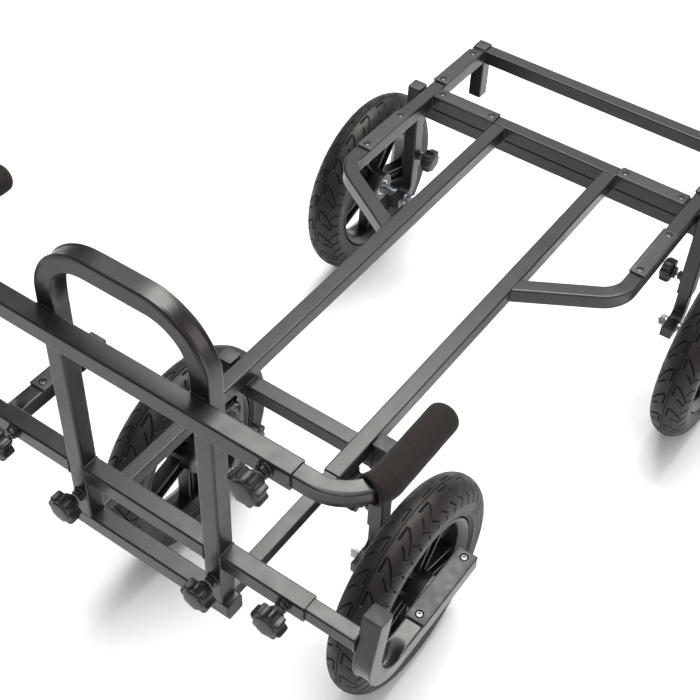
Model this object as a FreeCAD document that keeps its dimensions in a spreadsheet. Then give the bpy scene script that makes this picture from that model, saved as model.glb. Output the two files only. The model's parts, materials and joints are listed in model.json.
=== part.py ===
import FreeCAD, Part
import math
import os
import Sketcher

# Four-wheeled field-gear cart: a ladder frame of square tube on four sliding wheel legs,
# with a telescopic front that carries a hand hoop, two foam arms and two side arms.
# Millimetres. +X is the cart's right, +Y its rear, +Z up; the wheels stand on z = 0 and
# the origin is the middle of the bounding box on that floor.

DIMENSIONS = (
    ("tube", 22.2, "outer size of the square frame tube"),
    ("wall", 2.0, "its wall"),
    ("tube_corner", 2.2, "its outer corner radius"),
    ("slider", 18.0, "outer size of the tubes that slide inside it"),
    ("slider_wall", 1.5, "their wall"),
    ("slider_corner", 1.6, "their outer corner radius"),
    ("frame_level", 352.0, "height of the frame tubes' centre lines"),
    ("rail_offset", 93.0, "long rails and hoop posts from the middle plane"),
    ("rail_front", -296.3, "front end of the long rails"),
    ("rear_cross", 402.2, "rear cross tube and rear sleeves"),
    ("front_axle", -223.9, "front axle tube and front sleeves"),
    ("side_offset", 223.3, "side rails from the middle plane"),
    ("side_vertex", 176.0, "where a side rail's two centre lines meet"),
    ("side_turn", 59.0, "turn of the side rail's bend, degrees"),
    ("side_bend", 45.0, "its centre-line radius"),
    ("corner_station", 558.0, "corner posts and rear end tube"),
    ("corner_bottom", 276.0, "lower end of the corner posts"),
    ("front_sleeve", 117.5, "front sleeves from the middle plane"),
    ("rear_sleeve", 247.5, "rear sleeves from the middle plane"),
    ("sleeve_bottom", 207.0, "lower end of the sleeves"),
    ("sleeve_top", 361.0, "upper end of the sleeves"),
    ("sleeve_knob", 232.0, "height of the sleeve knobs"),
    ("cap_head", 3.0, "thickness of a tube cap's head"),
    ("cap_plug", 12.0, "length of its plug"),
    ("plug_play", 0.4, "how much smaller the plug is than the bore"),
    ("pad_length", 108.0, "platform pad"),
    ("pad_width", 24.6, "platform pad"),
    ("pad_depth", 3.2, "platform pad"),
    ("pad_pitch", 88.5, "between the two screws of a pad"),
    ("pad_corner", 1.5, "corner radius of a pad"),
    ("screw_head", 8.4, "button-head diameter"),
    ("screw_rise", 2.2, "button-head height"),
    ("screw_shank", 4.0, "screw diameter"),
    ("screw_hole", 4.6, "clearance hole for the screw"),
    ("screw_length", 9.0, "screw shank under the head"),
    ("screw_round", 1.6, "rounding of the screw head"),
    ("screw_socket", 2.5, "hexagon socket across flats"),
    ("socket_depth", 1.4, "its depth"),
    ("recess_depth", 2.4, "recess for the screw head in the pad"),
    ("recess_play", 1.2, "how much wider the recess is than the head"),
    ("front_pad", 273.5, "front side pads"),
    ("rear_pad", 482.8, "rear side pads"),
    ("cross_pad", 157.6, "cross-tube pads from the middle plane"),
    ("hoop_station", -496.6, "plane of the hoop and its posts"),
    ("hoop_top", 762.0, "centre line of the hoop's top"),
    ("hoop_bend", 57.0, "centre-line radius of the hoop's bends"),
    ("post_gap", 0.3, "gap between the posts and the base tube"),
    ("base_half", 109.8, "half length of the base tube"),
    ("stub_length", 150.0, "stubs that stand up inside the posts"),
    ("inner_rail_end", -96.0, "rear end of the inner rails"),
    ("crossbar_level", 674.2, "height of the upper crossbar"),
    ("crossbar_half", 208.8, "half length of both crossbars"),
    ("lower_level", 439.2, "height of the lower cross tube"),
    ("post_knob", 400.0, "height of the post knobs"),
    ("crossbar_knob", 183.0, "upper crossbar knobs from the middle plane"),
    ("lower_knob", 185.0, "lower cross tube knobs from the middle plane"),
    ("rail_knob", -262.0, "rail knobs, just behind the rails' open ends"),
    ("arm_hidden", 120.0, "length of a foam arm inside the crossbar"),
    ("arm_offset", 273.0, "foam arm's rearward leg from the middle plane"),
    ("arm_bend", 45.0, "its centre-line radius"),
    ("arm_end", -390.0, "rear end of the foam arm's tube"),
    ("foam", 32.0, "foam grip diameter"),
    ("foam_turn", 60.0, "angle along the bend where the foam starts, degrees"),
    ("foam_end", -384.0, "rear end of the foam"),
    ("foam_round", 8.0, "radius of its closed end's edge"),
    ("foam_play", 0.2, "how much wider its bore is than the tube"),
    ("side_arm", 279.0, "right side arm from the middle plane"),
    ("side_arm_shift", 15.0, "how much nearer to it the left side arm is set"),
    ("side_arm_hidden", 84.0, "length of a side arm inside the lower cross tube"),
    ("arm_lean", 12.0, "lean of the side arm's upright, degrees"),
    ("upright_length", 121.7, "from the upright's top to the bend's vertex"),
    ("upright_vertex", -509.0, "station of the bend's vertex"),
    ("leg_level", 355.9, "height of the side arm's leg"),
    ("leg_length", 208.0, "from the bend's vertex to the leg's end"),
    ("leg_bend", 52.0, "centre-line radius of the side arm's bend"),
    ("leg_pad", -353.5, "middle of the side arm's pad"),
    ("wheel_radius", 155.0, "pneumatic tyre, twelve and a half inch"),
    ("tyre_section", 29.0, "radius of the tyre's section"),
    ("tyre_wall", 4.5, "casing thickness"),
    ("inner_tube", 22.8, "radius of the inner tube's section"),
    ("inner_tube_wall", 1.6, "its wall"),
    ("rim_outer", 106.0, "rim flange radius"),
    ("rim_well", 99.0, "rim well radius"),
    ("rim_inner", 94.5, "rim opening radius"),
    ("rim_half", 24.0, "half width of the rim"),
    ("rim_lip", 3.0, "thickness of its flanges"),
    ("rim_slope", 9.0, "from the flange's face to the floor of the well"),
    ("hub_half", 27.0, "half length of the hub"),
    ("hub", 52.0, "hub diameter"),
    ("hub_bore", 14.0, "clearance bore through the hub"),
    ("bearing", 26.0, "bearing outer diameter"),
    ("bearing_width", 8.0, "bearing width"),
    ("spoke_width", 26.0, "spoke width"),
    ("spoke_depth", 22.0, "spoke depth along the axle"),
    ("spoke_corner", 3.0, "corner radius of a spoke"),
    ("valve", 6.0, "valve stem diameter"),
    ("valve_length", 30.0, "valve stem length"),
    ("valve_foot", 103.4, "foot of the valve stem from the axle"),
    ("axle", 10.0, "axle bolt diameter"),
    ("axle_fit", 10.1, "bores that run on the axle bolt"),
    ("axle_set_back", 22.3, "axle forward of its sleeve's centre"),
    ("spacer", 16.0, "spacer diameter"),
    ("spacer_length", 27.0, "spacer between leg and hub"),
    ("hub_play", 0.3, "end play of the hub"),
    ("hex_across", 17.0, "axle nut and bolt head across flats"),
    ("nut_height", 8.0, "axle nut"),
    ("head_height", 6.4, "axle bolt head"),
    ("axle_tail", 3.0, "end of the bolt past its nut"),
    ("washer", 20.0, "washer diameter"),
    ("washer_depth", 2.0, "washer thickness"),
    ("strut_top", 325.0, "upper end of the wheel legs inside the sleeves"),
    ("strut_bend", 22.0, "centre-line radius of their bend"),
    ("strut_reach", 42.0, "from the sleeve's centre to the leg's open end"),
    ("boss_across", 13.0, "threaded boss across flats"),
    ("boss_height", 7.0, "threaded boss"),
    ("boss_bore", 6.4, "bore of the boss around the stud"),
    ("stud", 6.0, "knob stud diameter"),
    ("stud_hole", 6.6, "hole for the stud in the tube wall"),
    ("stud_gap", 0.3, "from the stud's tip to the tube that it clamps"),
    ("knob", 38.0, "star knob diameter"),
    ("knob_depth", 23.1, "star knob head depth"),
    ("knob_stand", 3.5, "from the boss to the knob head"),
    ("knob_back", 4.0, "length of the neck under the head"),
    ("knob_round", 3.0, "rounding of the head's front edge"),
    ("knob_neck", 20.0, "diameter of that neck"),
    ("knob_scallop", 12.5, "diameter of the hollows between its lobes"),
    ("knob_scallop_ring", 21.6, "ring radius of those hollows"),
)

KNOB_LOBES = 8
SPOKES = 5
BEAD_ANGLE = 130
RIGHT = FreeCAD.Vector(1, 0, 0)
REAR = FreeCAD.Vector(0, 1, 0)
UP = FreeCAD.Vector(0, 0, 1)
START, END, CENTRE = 1, 2, 3
ORIGIN = (-1, START)

doc = FreeCAD.newDocument("cart")
sheet = doc.addObject("Spreadsheet::Sheet", "dims")
nodes = {}


class Size:
    """A value together with the sheet expression that drives it."""

    def __init__(self, value, text):
        self.value = value
        self.text = text

    def __add__(self, other):
        other = as_size(other)
        return Size(self.value + other.value, f"({self.text} + {other.text})")

    def __sub__(self, other):
        other = as_size(other)
        return Size(self.value - other.value, f"({self.text} - {other.text})")

    def __mul__(self, other):
        other = as_size(other)
        return Size(self.value * other.value, f"({self.text} * {other.text})")

    def __truediv__(self, other):
        other = as_size(other)
        return Size(self.value / other.value, f"({self.text} / {other.text})")

    def __neg__(self):
        return self * -1

    __rmul__ = __mul__


def as_size(item):
    if isinstance(item, Size):
        return item
    return Size(float(item), f"({float(item)})")


def sine(angle):
    return Size(math.sin(math.radians(angle.value)), f"sin({angle.text} * 1 deg)")


def cosine(angle):
    return Size(math.cos(math.radians(angle.value)), f"cos({angle.text} * 1 deg)")


def fill_sheet():
    """Writes the driving dimensions as aliased cells and returns them as sizes."""
    sizes = {}
    for row, (name, value, meaning) in enumerate(DIMENSIONS, start=1):
        sheet.set(f"A{row}", name)
        sheet.set(f"B{row}", str(value))
        sheet.set(f"C{row}", meaning)
        sheet.setAlias(f"B{row}", name)
        sizes[name] = Size(value, f"dims.{name}")
    doc.recompute()
    return sizes


d = fill_sheet()
HALF_TUBE = d["tube"] / 2
BORE = d["tube"] - 2 * d["wall"]
BORE_CORNER = as_size(0.8)
SLIDER_BORE = d["slider"] - 2 * d["slider_wall"]
SLIDER_BORE_CORNER = as_size(0.6)
FRAME_TOP = d["frame_level"] + HALF_TUBE
FRAME_BOTTOM = d["frame_level"] - HALF_TUBE
LOWER_TIER = d["frame_level"] - d["tube"]
ZERO = as_size(0)


# ---------------------------------------------------------------- general helpers

def bind(item, name, size):
    item.setExpression(name, as_size(size).text)


def orientation(along, across):
    """Turns local Z to `along` and local X to `across`."""
    return FreeCAD.Rotation(across, along.cross(across), along, "ZXY")


def place(item, at, along=UP, across=None):
    if across is None:
        across = RIGHT if abs(along.x) < 0.5 else REAR
    base = FreeCAD.Vector(*[as_size(value).value for value in at])
    item.Placement = FreeCAD.Placement(base, orientation(along, across))
    for axis, value in zip("xyz", at):
        bind(item, f"Placement.Base.{axis}", value)
    return item


def name_node(item, label):
    item.Label = label
    nodes[label] = item
    return item


def new_body(name):
    return doc.addObject("PartDesign::Body", name)


def new_sketch(body, name, plane="XY_Plane"):
    sketch = body.newObject("Sketcher::SketchObject", name)
    for feature in body.Origin.OriginFeatures:
        if feature.Role == plane:
            sketch.AttachmentSupport = [(feature, "")]
    sketch.MapMode = "FlatFace"
    return sketch


def lift(sketch, height):
    """Raises a sketch above its plane."""
    sketch.AttachmentOffset = FreeCAD.Placement(UP * height.value, FreeCAD.Rotation())
    bind(sketch, "AttachmentOffset.Base.z", height)


def constrain(sketch, size, *what):
    size = as_size(size)
    index = sketch.addConstraint(Sketcher.Constraint(*what, size.value))
    sketch.setExpression(f"Constraints[{index}]", size.text)


def relate(sketch, *what):
    sketch.addConstraint(Sketcher.Constraint(*what))


def rounded_rectangle(sketch, width, height, corner):
    """A rectangle about the sketch's origin with rounded corners."""
    width, height, corner = as_size(width), as_size(height), as_size(corner)
    radius = corner.value
    flat_x = width.value / 2 - radius
    flat_y = height.value / 2 - radius
    centres = ((flat_x, flat_y), (-flat_x, flat_y), (-flat_x, -flat_y), (flat_x, -flat_y))
    first = sketch.GeometryCount
    for turn, (x, y) in enumerate(centres):
        previous = centres[turn - 1]
        angle = turn * math.pi / 2
        out = FreeCAD.Vector(math.cos(angle), math.sin(angle), 0) * radius
        start = FreeCAD.Vector(previous[0], previous[1], 0) + out
        end = FreeCAD.Vector(x, y, 0) + out
        sketch.addGeometry(Part.LineSegment(start, end), False)
        circle = Part.Circle(FreeCAD.Vector(x, y, 0), UP, radius)
        sketch.addGeometry(Part.ArcOfCircle(circle, angle, angle + math.pi / 2), False)
    lines = [first + 2 * turn for turn in range(4)]
    arcs = [line + 1 for line in lines]
    for turn in range(4):
        relate(sketch, "Tangent", lines[turn], END, arcs[turn], START)
        relate(sketch, "Tangent", arcs[turn], END, lines[(turn + 1) % 4], START)
        relate(sketch, "Horizontal" if turn % 2 else "Vertical", lines[turn])
    for arc in arcs[1:]:
        relate(sketch, "Equal", arcs[0], arc)
    relate(sketch, "Symmetric", lines[0], START, lines[2], START, *ORIGIN)
    constrain(sketch, corner, "Radius", arcs[0])
    constrain(sketch, width, "DistanceX", lines[2], START, lines[0], START)
    constrain(sketch, height, "DistanceY", lines[3], START, lines[1], START)


def circle(sketch, diameter, x=None):
    """A circle at the sketch's origin, or on its horizontal axis at x."""
    diameter = as_size(diameter)
    at = FreeCAD.Vector(as_size(x or 0).value, 0, 0)
    index = sketch.addGeometry(Part.Circle(at, UP, diameter.value / 2), False)
    constrain(sketch, diameter, "Diameter", index)
    if x is None:
        relate(sketch, "Coincident", index, CENTRE, *ORIGIN)
    else:
        relate(sketch, "PointOnObject", index, CENTRE, -1)
        constrain(sketch, x, "DistanceX", *ORIGIN, index, CENTRE)


def polygon(sketch, points):
    """A closed outline through points whose coordinates are all driven from the sheet."""
    corners = [FreeCAD.Vector(as_size(x).value, as_size(y).value, 0) for x, y in points]
    count = len(corners)
    first = sketch.GeometryCount
    for index, corner in enumerate(corners):
        sketch.addGeometry(Part.LineSegment(corner, corners[(index + 1) % count]), False)
    for index, (x, y) in enumerate(points):
        line = first + index
        relate(sketch, "Coincident", line, END, first + (index + 1) % count, START)
        for kind, value in (("DistanceX", as_size(x)), ("DistanceY", as_size(y))):
            if value.value < 0:
                constrain(sketch, -value, kind, line, START, *ORIGIN)
            else:
                constrain(sketch, value, kind, *ORIGIN, line, START)


def pad(body, sketch, length, reverse=False):
    feature = body.newObject("PartDesign::Pad", "Pad")
    feature.Profile = sketch
    bind(feature, "Length", length)
    feature.Reversed = reverse
    return feature


def pocket(body, sketch, length, reverse=False):
    feature = body.newObject("PartDesign::Pocket", "Pocket")
    feature.Profile = sketch
    bind(feature, "Length", length)
    feature.Reversed = reverse
    return feature


def revolve(body, sketch):
    feature = body.newObject("PartDesign::Revolution", "Revolution")
    feature.Profile = sketch
    feature.ReferenceAxis = (sketch, ["V_Axis"])
    feature.Angle = 360
    return feature


def polar(body, feature, count):
    pattern = body.newObject("PartDesign::PolarPattern", "PolarPattern")
    pattern.Originals = [feature]
    axis = [item for item in body.Origin.OriginFeatures if item.Role == "Z_Axis"][0]
    pattern.Axis = (axis, [""])
    pattern.Angle = 360
    pattern.Occurrences = count
    body.Tip = pattern
    return pattern


def cylinder(diameter, length, at, along=UP):
    item = doc.addObject("Part::Cylinder", "Round")
    bind(item, "Radius", diameter / 2)
    bind(item, "Height", length)
    return place(item, at, along)


def hexagon(across_flats, height, at, along=UP):
    item = doc.addObject("Part::Prism", "Hexagon")
    item.Polygon = 6
    bind(item, "Circumradius", across_flats / math.sqrt(3))
    bind(item, "Height", height)
    return place(item, at, along)


def compound(items, name="Group"):
    group = doc.addObject("Part::Compound", name)
    group.Links = items
    return group


def cut(base, tool, name="Cut"):
    result = doc.addObject("Part::Cut", name)
    result.Base = base
    result.Tool = tool
    return result


def fuse(items, name="Weld"):
    result = doc.addObject("Part::MultiFuse", name)
    result.Shapes = items
    return result


def copy_of(master, at, along=UP, across=None):
    link = doc.addObject("App::Link", "Copy")
    link.LinkedObject = master
    return place(link, at, along, across)


def drilled(base, holes):
    """The part with round holes: (diameter, length, start, direction) each."""
    return cut(base, compound([cylinder(*hole) for hole in holes]))


# ---------------------------------------------------------------- tubes

def ring(sketch, slider=False):
    """Section of a frame tube, or of a tube that slides inside one."""
    if slider:
        rounded_rectangle(sketch, d["slider"], d["slider"], d["slider_corner"])
        rounded_rectangle(sketch, SLIDER_BORE, SLIDER_BORE, SLIDER_BORE_CORNER)
    else:
        rounded_rectangle(sketch, d["tube"], d["tube"], d["tube_corner"])
        rounded_rectangle(sketch, BORE, BORE, BORE_CORNER)


def straight_tube(name, at, along, length, slider=False):
    body = new_body(name)
    sketch = new_sketch(body, "Section")
    ring(sketch, slider)
    pad(body, sketch, length)
    return place(body, at, along)


def bend_path(sketch, first, last, turn, radius):
    """First leg up the vertical axis to a vertex, then `turn` degrees to the right.

    `first` and `last` are the legs' lengths up to that vertex; the corner is an arc.
    """
    first, last, turn, radius = (as_size(item) for item in (first, last, turn, radius))
    angle = math.radians(turn.value)
    set_back = radius.value * math.tan(angle / 2)
    tangent = radius * sine(turn) / (cosine(turn) + 1)
    straight = first - tangent
    corner = FreeCAD.Vector(0, first.value, 0)
    heading = FreeCAD.Vector(math.sin(angle), math.cos(angle), 0)
    centre = FreeCAD.Vector(radius.value, first.value - set_back, 0)
    bottom = FreeCAD.Vector(0, first.value - set_back, 0)
    finish = corner + heading * last.value
    arc = Part.ArcOfCircle(Part.Circle(centre, UP, radius.value), math.pi - angle, math.pi)
    sketch.addGeometry(Part.LineSegment(FreeCAD.Vector(0, 0, 0), bottom), False)
    sketch.addGeometry(arc, False)
    sketch.addGeometry(Part.LineSegment(corner + heading * set_back, finish), False)
    relate(sketch, "Coincident", 0, START, *ORIGIN)
    relate(sketch, "Vertical", 0)
    relate(sketch, "Tangent", 0, END, 1, END)
    relate(sketch, "Tangent", 1, START, 2, START)
    constrain(sketch, straight, "DistanceY", 0, START, 0, END)
    constrain(sketch, radius, "Radius", 1)
    constrain(sketch, last * sine(turn), "DistanceX", *ORIGIN, 2, END)
    constrain(sketch, first + last * cosine(turn), "DistanceY", *ORIGIN, 2, END)


def sweep(body, profile, path):
    feature = body.newObject("PartDesign::AdditivePipe", "Sweep")
    feature.Profile = profile
    feature.Spine = (path, [])
    return feature


def bent_tube(name, first, last, turn, radius, slider=False):
    body = new_body(name)
    section = new_sketch(body, "Section")
    ring(section, slider)
    path = new_sketch(body, "Path", "XZ_Plane")
    bend_path(path, first, last, turn, radius)
    sweep(body, section, path)
    return body


# ---------------------------------------------------------------- small repeated pieces

def make_cap():
    """Plastic end cap: a head over the tube's end and a plug inside its bore."""
    body = new_body("CapMaster")
    head = new_sketch(body, "Head")
    rounded_rectangle(head, d["tube"], d["tube"], d["tube_corner"])
    pad(body, head, d["cap_head"])
    plug = new_sketch(body, "Plug")
    rounded_rectangle(plug, BORE - d["plug_play"], BORE - d["plug_play"], BORE_CORNER)
    pad(body, plug, d["cap_plug"], reverse=True)
    return body


def make_pad():
    """Plastic platform pad with two recessed screw holes, its underside at z = 0."""
    body = new_body("PadMaster")
    plate = new_sketch(body, "Plate")
    rounded_rectangle(plate, d["pad_width"], d["pad_length"], d["pad_corner"])
    pad(body, plate, d["pad_depth"])
    half = d["pad_pitch"] / 2
    holes = []
    for side in (-1, 1):
        holes.append((d["screw_hole"], d["pad_depth"] + 2, (ZERO, side * half, as_size(-1))))
        seat = d["pad_depth"] - d["recess_depth"]
        holes.append((d["screw_head"] + d["recess_play"], d["pad_depth"], (ZERO, side * half, seat)))
    return drilled(body, holes)


def make_screw():
    """Button-head screw with a socket; the head's underside is at z = 0."""
    body = new_body("ScrewMaster")
    shank = new_sketch(body, "Shank")
    circle(shank, d["screw_shank"])
    pad(body, shank, d["screw_length"], reverse=True)
    head = new_sketch(body, "Head")
    circle(head, d["screw_head"])
    button = pad(body, head, d["screw_rise"])
    doc.recompute()
    rim = [f"Edge{index + 1}" for index, edge in enumerate(button.Shape.Edges)
           if abs(edge.BoundBox.ZMin - d["screw_rise"].value) < 1e-6]
    rounding = body.newObject("PartDesign::Fillet", "Button")
    rounding.Base = (button, rim)
    bind(rounding, "Radius", d["screw_round"])
    body.Tip = rounding
    floor = d["screw_rise"] - d["socket_depth"]
    socket = hexagon(d["screw_socket"], 2 * d["socket_depth"], (ZERO, ZERO, floor))
    return cut(body, socket)


def make_boss():
    """Threaded hexagon boss, its foot at z = 0."""
    shell = hexagon(d["boss_across"], d["boss_height"], (ZERO, ZERO, ZERO))
    bore = cylinder(d["boss_bore"], d["boss_height"] + 2, (ZERO, ZERO, as_size(-1)))
    return cut(shell, bore)


# ---------------------------------------------------------------- ladder frame

def stud_hole(at, along):
    """Hole from a tube's centre line out through one wall."""
    return (d["stud_hole"], d["tube"], at, along)


def pad_places():
    """Centres and directions of the six platform pads on the frame tubes."""
    places = []
    for side in (-1, 1):
        for station in (d["front_pad"], d["rear_pad"]):
            places.append((side * d["side_offset"], station, REAR))
        places.append((side * d["cross_pad"], d["rear_cross"], RIGHT))
    return places


def screw_places(places):
    spots = []
    for x, y, along in places:
        for end in (-1, 1):
            shift = end * d["pad_pitch"] / 2
            spots.append((x + shift * along.x, y + shift * along.y))
    return spots


def top_holes(spots):
    return [(d["screw_hole"], d["tube"], (x, y, d["frame_level"]), UP) for x, y in spots]


def build_long_rails():
    length = d["rear_cross"] - HALF_TUBE - d["rail_front"]
    rails = []
    holes = []
    for side in (-1, 1):
        x = side * d["rail_offset"]
        rails.append(straight_tube("LongRail", (x, d["rail_front"], d["frame_level"]), REAR, length))
        holes.append(stud_hole((x, d["rail_knob"], d["frame_level"]), -UP))
    name_node(drilled(compound(rails), holes), "long_rails")


def cross_tube(name, half, y, z):
    return straight_tube(name, (-half, y, z), RIGHT, 2 * half)


def build_cross_tubes():
    half = d["side_offset"] - HALF_TUBE
    rear = cross_tube("RearCross", half, d["rear_cross"], d["frame_level"])
    spots = [spot for spot in screw_places(pad_places()) if abs(spot[1].value - d["rear_cross"].value) < 1]
    name_node(drilled(rear, top_holes(spots)), "rear_cross_tube")
    name_node(cross_tube("RearAxleTube", d["rear_sleeve"] - HALF_TUBE, d["rear_cross"], LOWER_TIER),
              "rear_axle_tube")
    name_node(cross_tube("FrontAxleTube", d["front_sleeve"] - HALF_TUBE, d["front_axle"], LOWER_TIER),
              "front_axle_tube")
    name_node(cross_tube("RearEnd", half, d["corner_station"], d["frame_level"]), "rear_end_tube")


def build_side_rails():
    """Each runs forward from its corner post, bends inwards and meets the long rail."""
    rear_end = d["corner_station"] - HALF_TUBE
    first = rear_end - d["side_vertex"]
    last = (d["side_offset"] - d["rail_offset"]) / sine(d["side_turn"])
    rail_face = d["rail_offset"] + HALF_TUBE
    room = 3 * d["tube"]
    rails = []
    for side in (-1, 1):
        body = bent_tube("SideRail", first, last, d["side_turn"], d["side_bend"])
        place(body, (side * d["side_offset"], rear_end, d["frame_level"]), -REAR, -side * RIGHT)
        trim = doc.addObject("Part::Box", "Mitre")
        bind(trim, "Length", room)
        bind(trim, "Width", 2 * room)
        bind(trim, "Height", room)
        inner = rail_face - room if side > 0 else -rail_face
        place(trim, (inner, d["side_vertex"] - 2 * room, d["frame_level"] - room / 2))
        spots = [spot for spot in screw_places(pad_places())
                 if abs(spot[0].value - side * d["side_offset"].value) < 1]
        rails.append(drilled(cut(body, trim), top_holes(spots)))
    name_node(compound(rails), "side_rails")


def sleeve_places():
    """(x, y) of the four sleeves with the corner's name."""
    return [("front_left", -d["front_sleeve"], d["front_axle"], -1),
            ("front_right", d["front_sleeve"], d["front_axle"], 1),
            ("rear_left", -d["rear_sleeve"], d["rear_cross"], -1),
            ("rear_right", d["rear_sleeve"], d["rear_cross"], 1)]


def build_uprights():
    posts = []
    for side in (-1, 1):
        at = (side * d["side_offset"], d["corner_station"], d["corner_bottom"])
        posts.append(straight_tube("CornerPost", at, UP, FRAME_TOP - d["corner_bottom"]))
    name_node(compound(posts), "corner_posts")
    for end in ("front", "rear"):
        sleeves = []
        holes = []
        for corner, x, y, side in sleeve_places():
            if corner.startswith(end):
                length = d["sleeve_top"] - d["sleeve_bottom"]
                sleeves.append(straight_tube("Sleeve", (x, y, d["sleeve_bottom"]), UP, length))
                holes.append(stud_hole((x, y, d["sleeve_knob"]), -side * RIGHT))
        name_node(drilled(compound(sleeves), holes), f"{end}_sleeves")


def build_frame_trim(cap, plate, screw, boss):
    caps = [copy_of(cap, (x, y, d["sleeve_top"])) for _, x, y, _ in sleeve_places()]
    for side in (-1, 1):
        x, y = side * d["side_offset"], d["corner_station"]
        caps.append(copy_of(cap, (x, y, FRAME_TOP)))
        caps.append(copy_of(cap, (x, y, d["corner_bottom"]), -UP))
    name_node(compound(caps), "tube_caps")
    pads = [copy_of(plate, (x, y, FRAME_TOP), UP, RIGHT if along is REAR else REAR)
            for x, y, along in pad_places()]
    name_node(compound(pads), "platform_pads")
    seat = FRAME_TOP + d["pad_depth"] - d["recess_depth"]
    screws = [copy_of(screw, (x, y, seat)) for x, y in screw_places(pad_places())]
    name_node(compound(screws), "pad_screws")
    bosses = [copy_of(boss, (x - side * HALF_TUBE, y, d["sleeve_knob"]), -side * RIGHT)
              for _, x, y, side in sleeve_places()]
    for side in (-1, 1):
        at = (side * d["rail_offset"], d["rail_knob"], FRAME_BOTTOM)
        bosses.append(copy_of(boss, at, -UP))
    name_node(compound(bosses), "frame_bosses")


# ---------------------------------------------------------------- telescopic front

def build_front_slide(cap):
    back = d["hoop_station"] + HALF_TUBE
    rails = [straight_tube("InnerRail", (side * d["rail_offset"], back, d["frame_level"]), REAR,
                           d["inner_rail_end"] - back, slider=True) for side in (-1, 1)]
    name_node(compound(rails), "inner_rails")
    base = cross_tube("BaseTube", d["base_half"], d["hoop_station"], d["frame_level"])
    stubs = [straight_tube("Stub", (side * d["rail_offset"], d["hoop_station"], FRAME_TOP), UP,
                           d["stub_length"], slider=True) for side in (-1, 1)]
    name_node(fuse([base] + stubs), "base_tube")
    caps = [copy_of(cap, (side * d["base_half"], d["hoop_station"], d["frame_level"]), side * RIGHT)
            for side in (-1, 1)]
    name_node(compound(caps), "base_caps")


def arch_path(sketch, rise, span, radius):
    """Up the vertical axis, over a flat top and down again, with two arcs."""
    height, width, bend = rise.value, span.value, radius.value
    knee = height - bend
    vector = FreeCAD.Vector
    sketch.addGeometry(Part.LineSegment(vector(0, 0, 0), vector(0, knee, 0)), False)
    left = Part.Circle(vector(bend, knee, 0), UP, bend)
    sketch.addGeometry(Part.ArcOfCircle(left, math.pi / 2, math.pi), False)
    sketch.addGeometry(Part.LineSegment(vector(bend, height, 0), vector(width - bend, height, 0)), False)
    right = Part.Circle(vector(width - bend, knee, 0), UP, bend)
    sketch.addGeometry(Part.ArcOfCircle(right, 0, math.pi / 2), False)
    sketch.addGeometry(Part.LineSegment(vector(width, knee, 0), vector(width, 0, 0)), False)
    relate(sketch, "Coincident", 0, START, *ORIGIN)
    relate(sketch, "Vertical", 0)
    relate(sketch, "Tangent", 0, END, 1, END)
    relate(sketch, "Tangent", 1, START, 2, START)
    relate(sketch, "Tangent", 2, END, 3, END)
    relate(sketch, "Tangent", 3, START, 4, START)
    relate(sketch, "Horizontal", 2)
    relate(sketch, "Vertical", 4)
    relate(sketch, "PointOnObject", 4, END, -1)
    relate(sketch, "Equal", 1, 3)
    constrain(sketch, radius, "Radius", 1)
    constrain(sketch, rise - radius, "DistanceY", 0, START, 0, END)
    constrain(sketch, span, "DistanceX", *ORIGIN, 4, END)


def build_hoop():
    foot = FRAME_TOP + d["post_gap"]
    body = new_body("Hoop")
    section = new_sketch(body, "Section")
    ring(section)
    path = new_sketch(body, "Path", "XZ_Plane")
    arch_path(path, d["hoop_top"] - foot, 2 * d["rail_offset"], d["hoop_bend"])
    sweep(body, section, path)
    place(body, (-d["rail_offset"], d["hoop_station"], foot))
    holes = [stud_hole((side * d["rail_offset"], d["hoop_station"], d["post_knob"]), -REAR)
             for side in (-1, 1)]
    name_node(drilled(body, holes), "hoop_tube")


def crossbar_station():
    return d["hoop_station"] - d["tube"]


def build_crossbars(boss):
    upper = cross_tube("Crossbar", d["crossbar_half"], crossbar_station(), d["crossbar_level"])
    holes = [stud_hole((side * d["crossbar_knob"], crossbar_station(), d["crossbar_level"]), -REAR)
             for side in (-1, 1)]
    name_node(drilled(upper, holes), "handle_crossbar")

    inner = d["rail_offset"] - HALF_TUBE
    outer = d["rail_offset"] + HALF_TUBE
    pieces = [cross_tube("LowerMiddle", inner, d["hoop_station"], d["lower_level"])]
    holes = []
    for side in (-1, 1):
        at = (side * outer, d["hoop_station"], d["lower_level"])
        pieces.append(straight_tube("LowerOuter", at, side * RIGHT, d["crossbar_half"] - outer))
        spot = (side * d["lower_knob"], d["hoop_station"], d["lower_level"])
        holes.append(stud_hole(spot, -REAR))
    name_node(drilled(compound(pieces), holes), "lower_cross_tube")

    bosses = [copy_of(boss, at, -REAR) for at in hoop_boss_places().values()]
    name_node(compound(bosses), "hoop_bosses")


def hoop_boss_places():
    """Foot of each boss on the hoop frame, by the knob that it serves."""
    face = d["hoop_station"] - HALF_TUBE
    upper_face = crossbar_station() - HALF_TUBE
    places = {}
    for side, word in ((-1, "left"), (1, "right")):
        places[f"crossbar_knob_{word}"] = (side * d["crossbar_knob"], upper_face, d["crossbar_level"])
        places[f"lower_knob_{word}"] = (side * d["lower_knob"], face, d["lower_level"])
        places[f"post_knob_{word}"] = (side * d["rail_offset"], face, d["post_knob"])
    return places


# ---------------------------------------------------------------- foam arms

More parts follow.
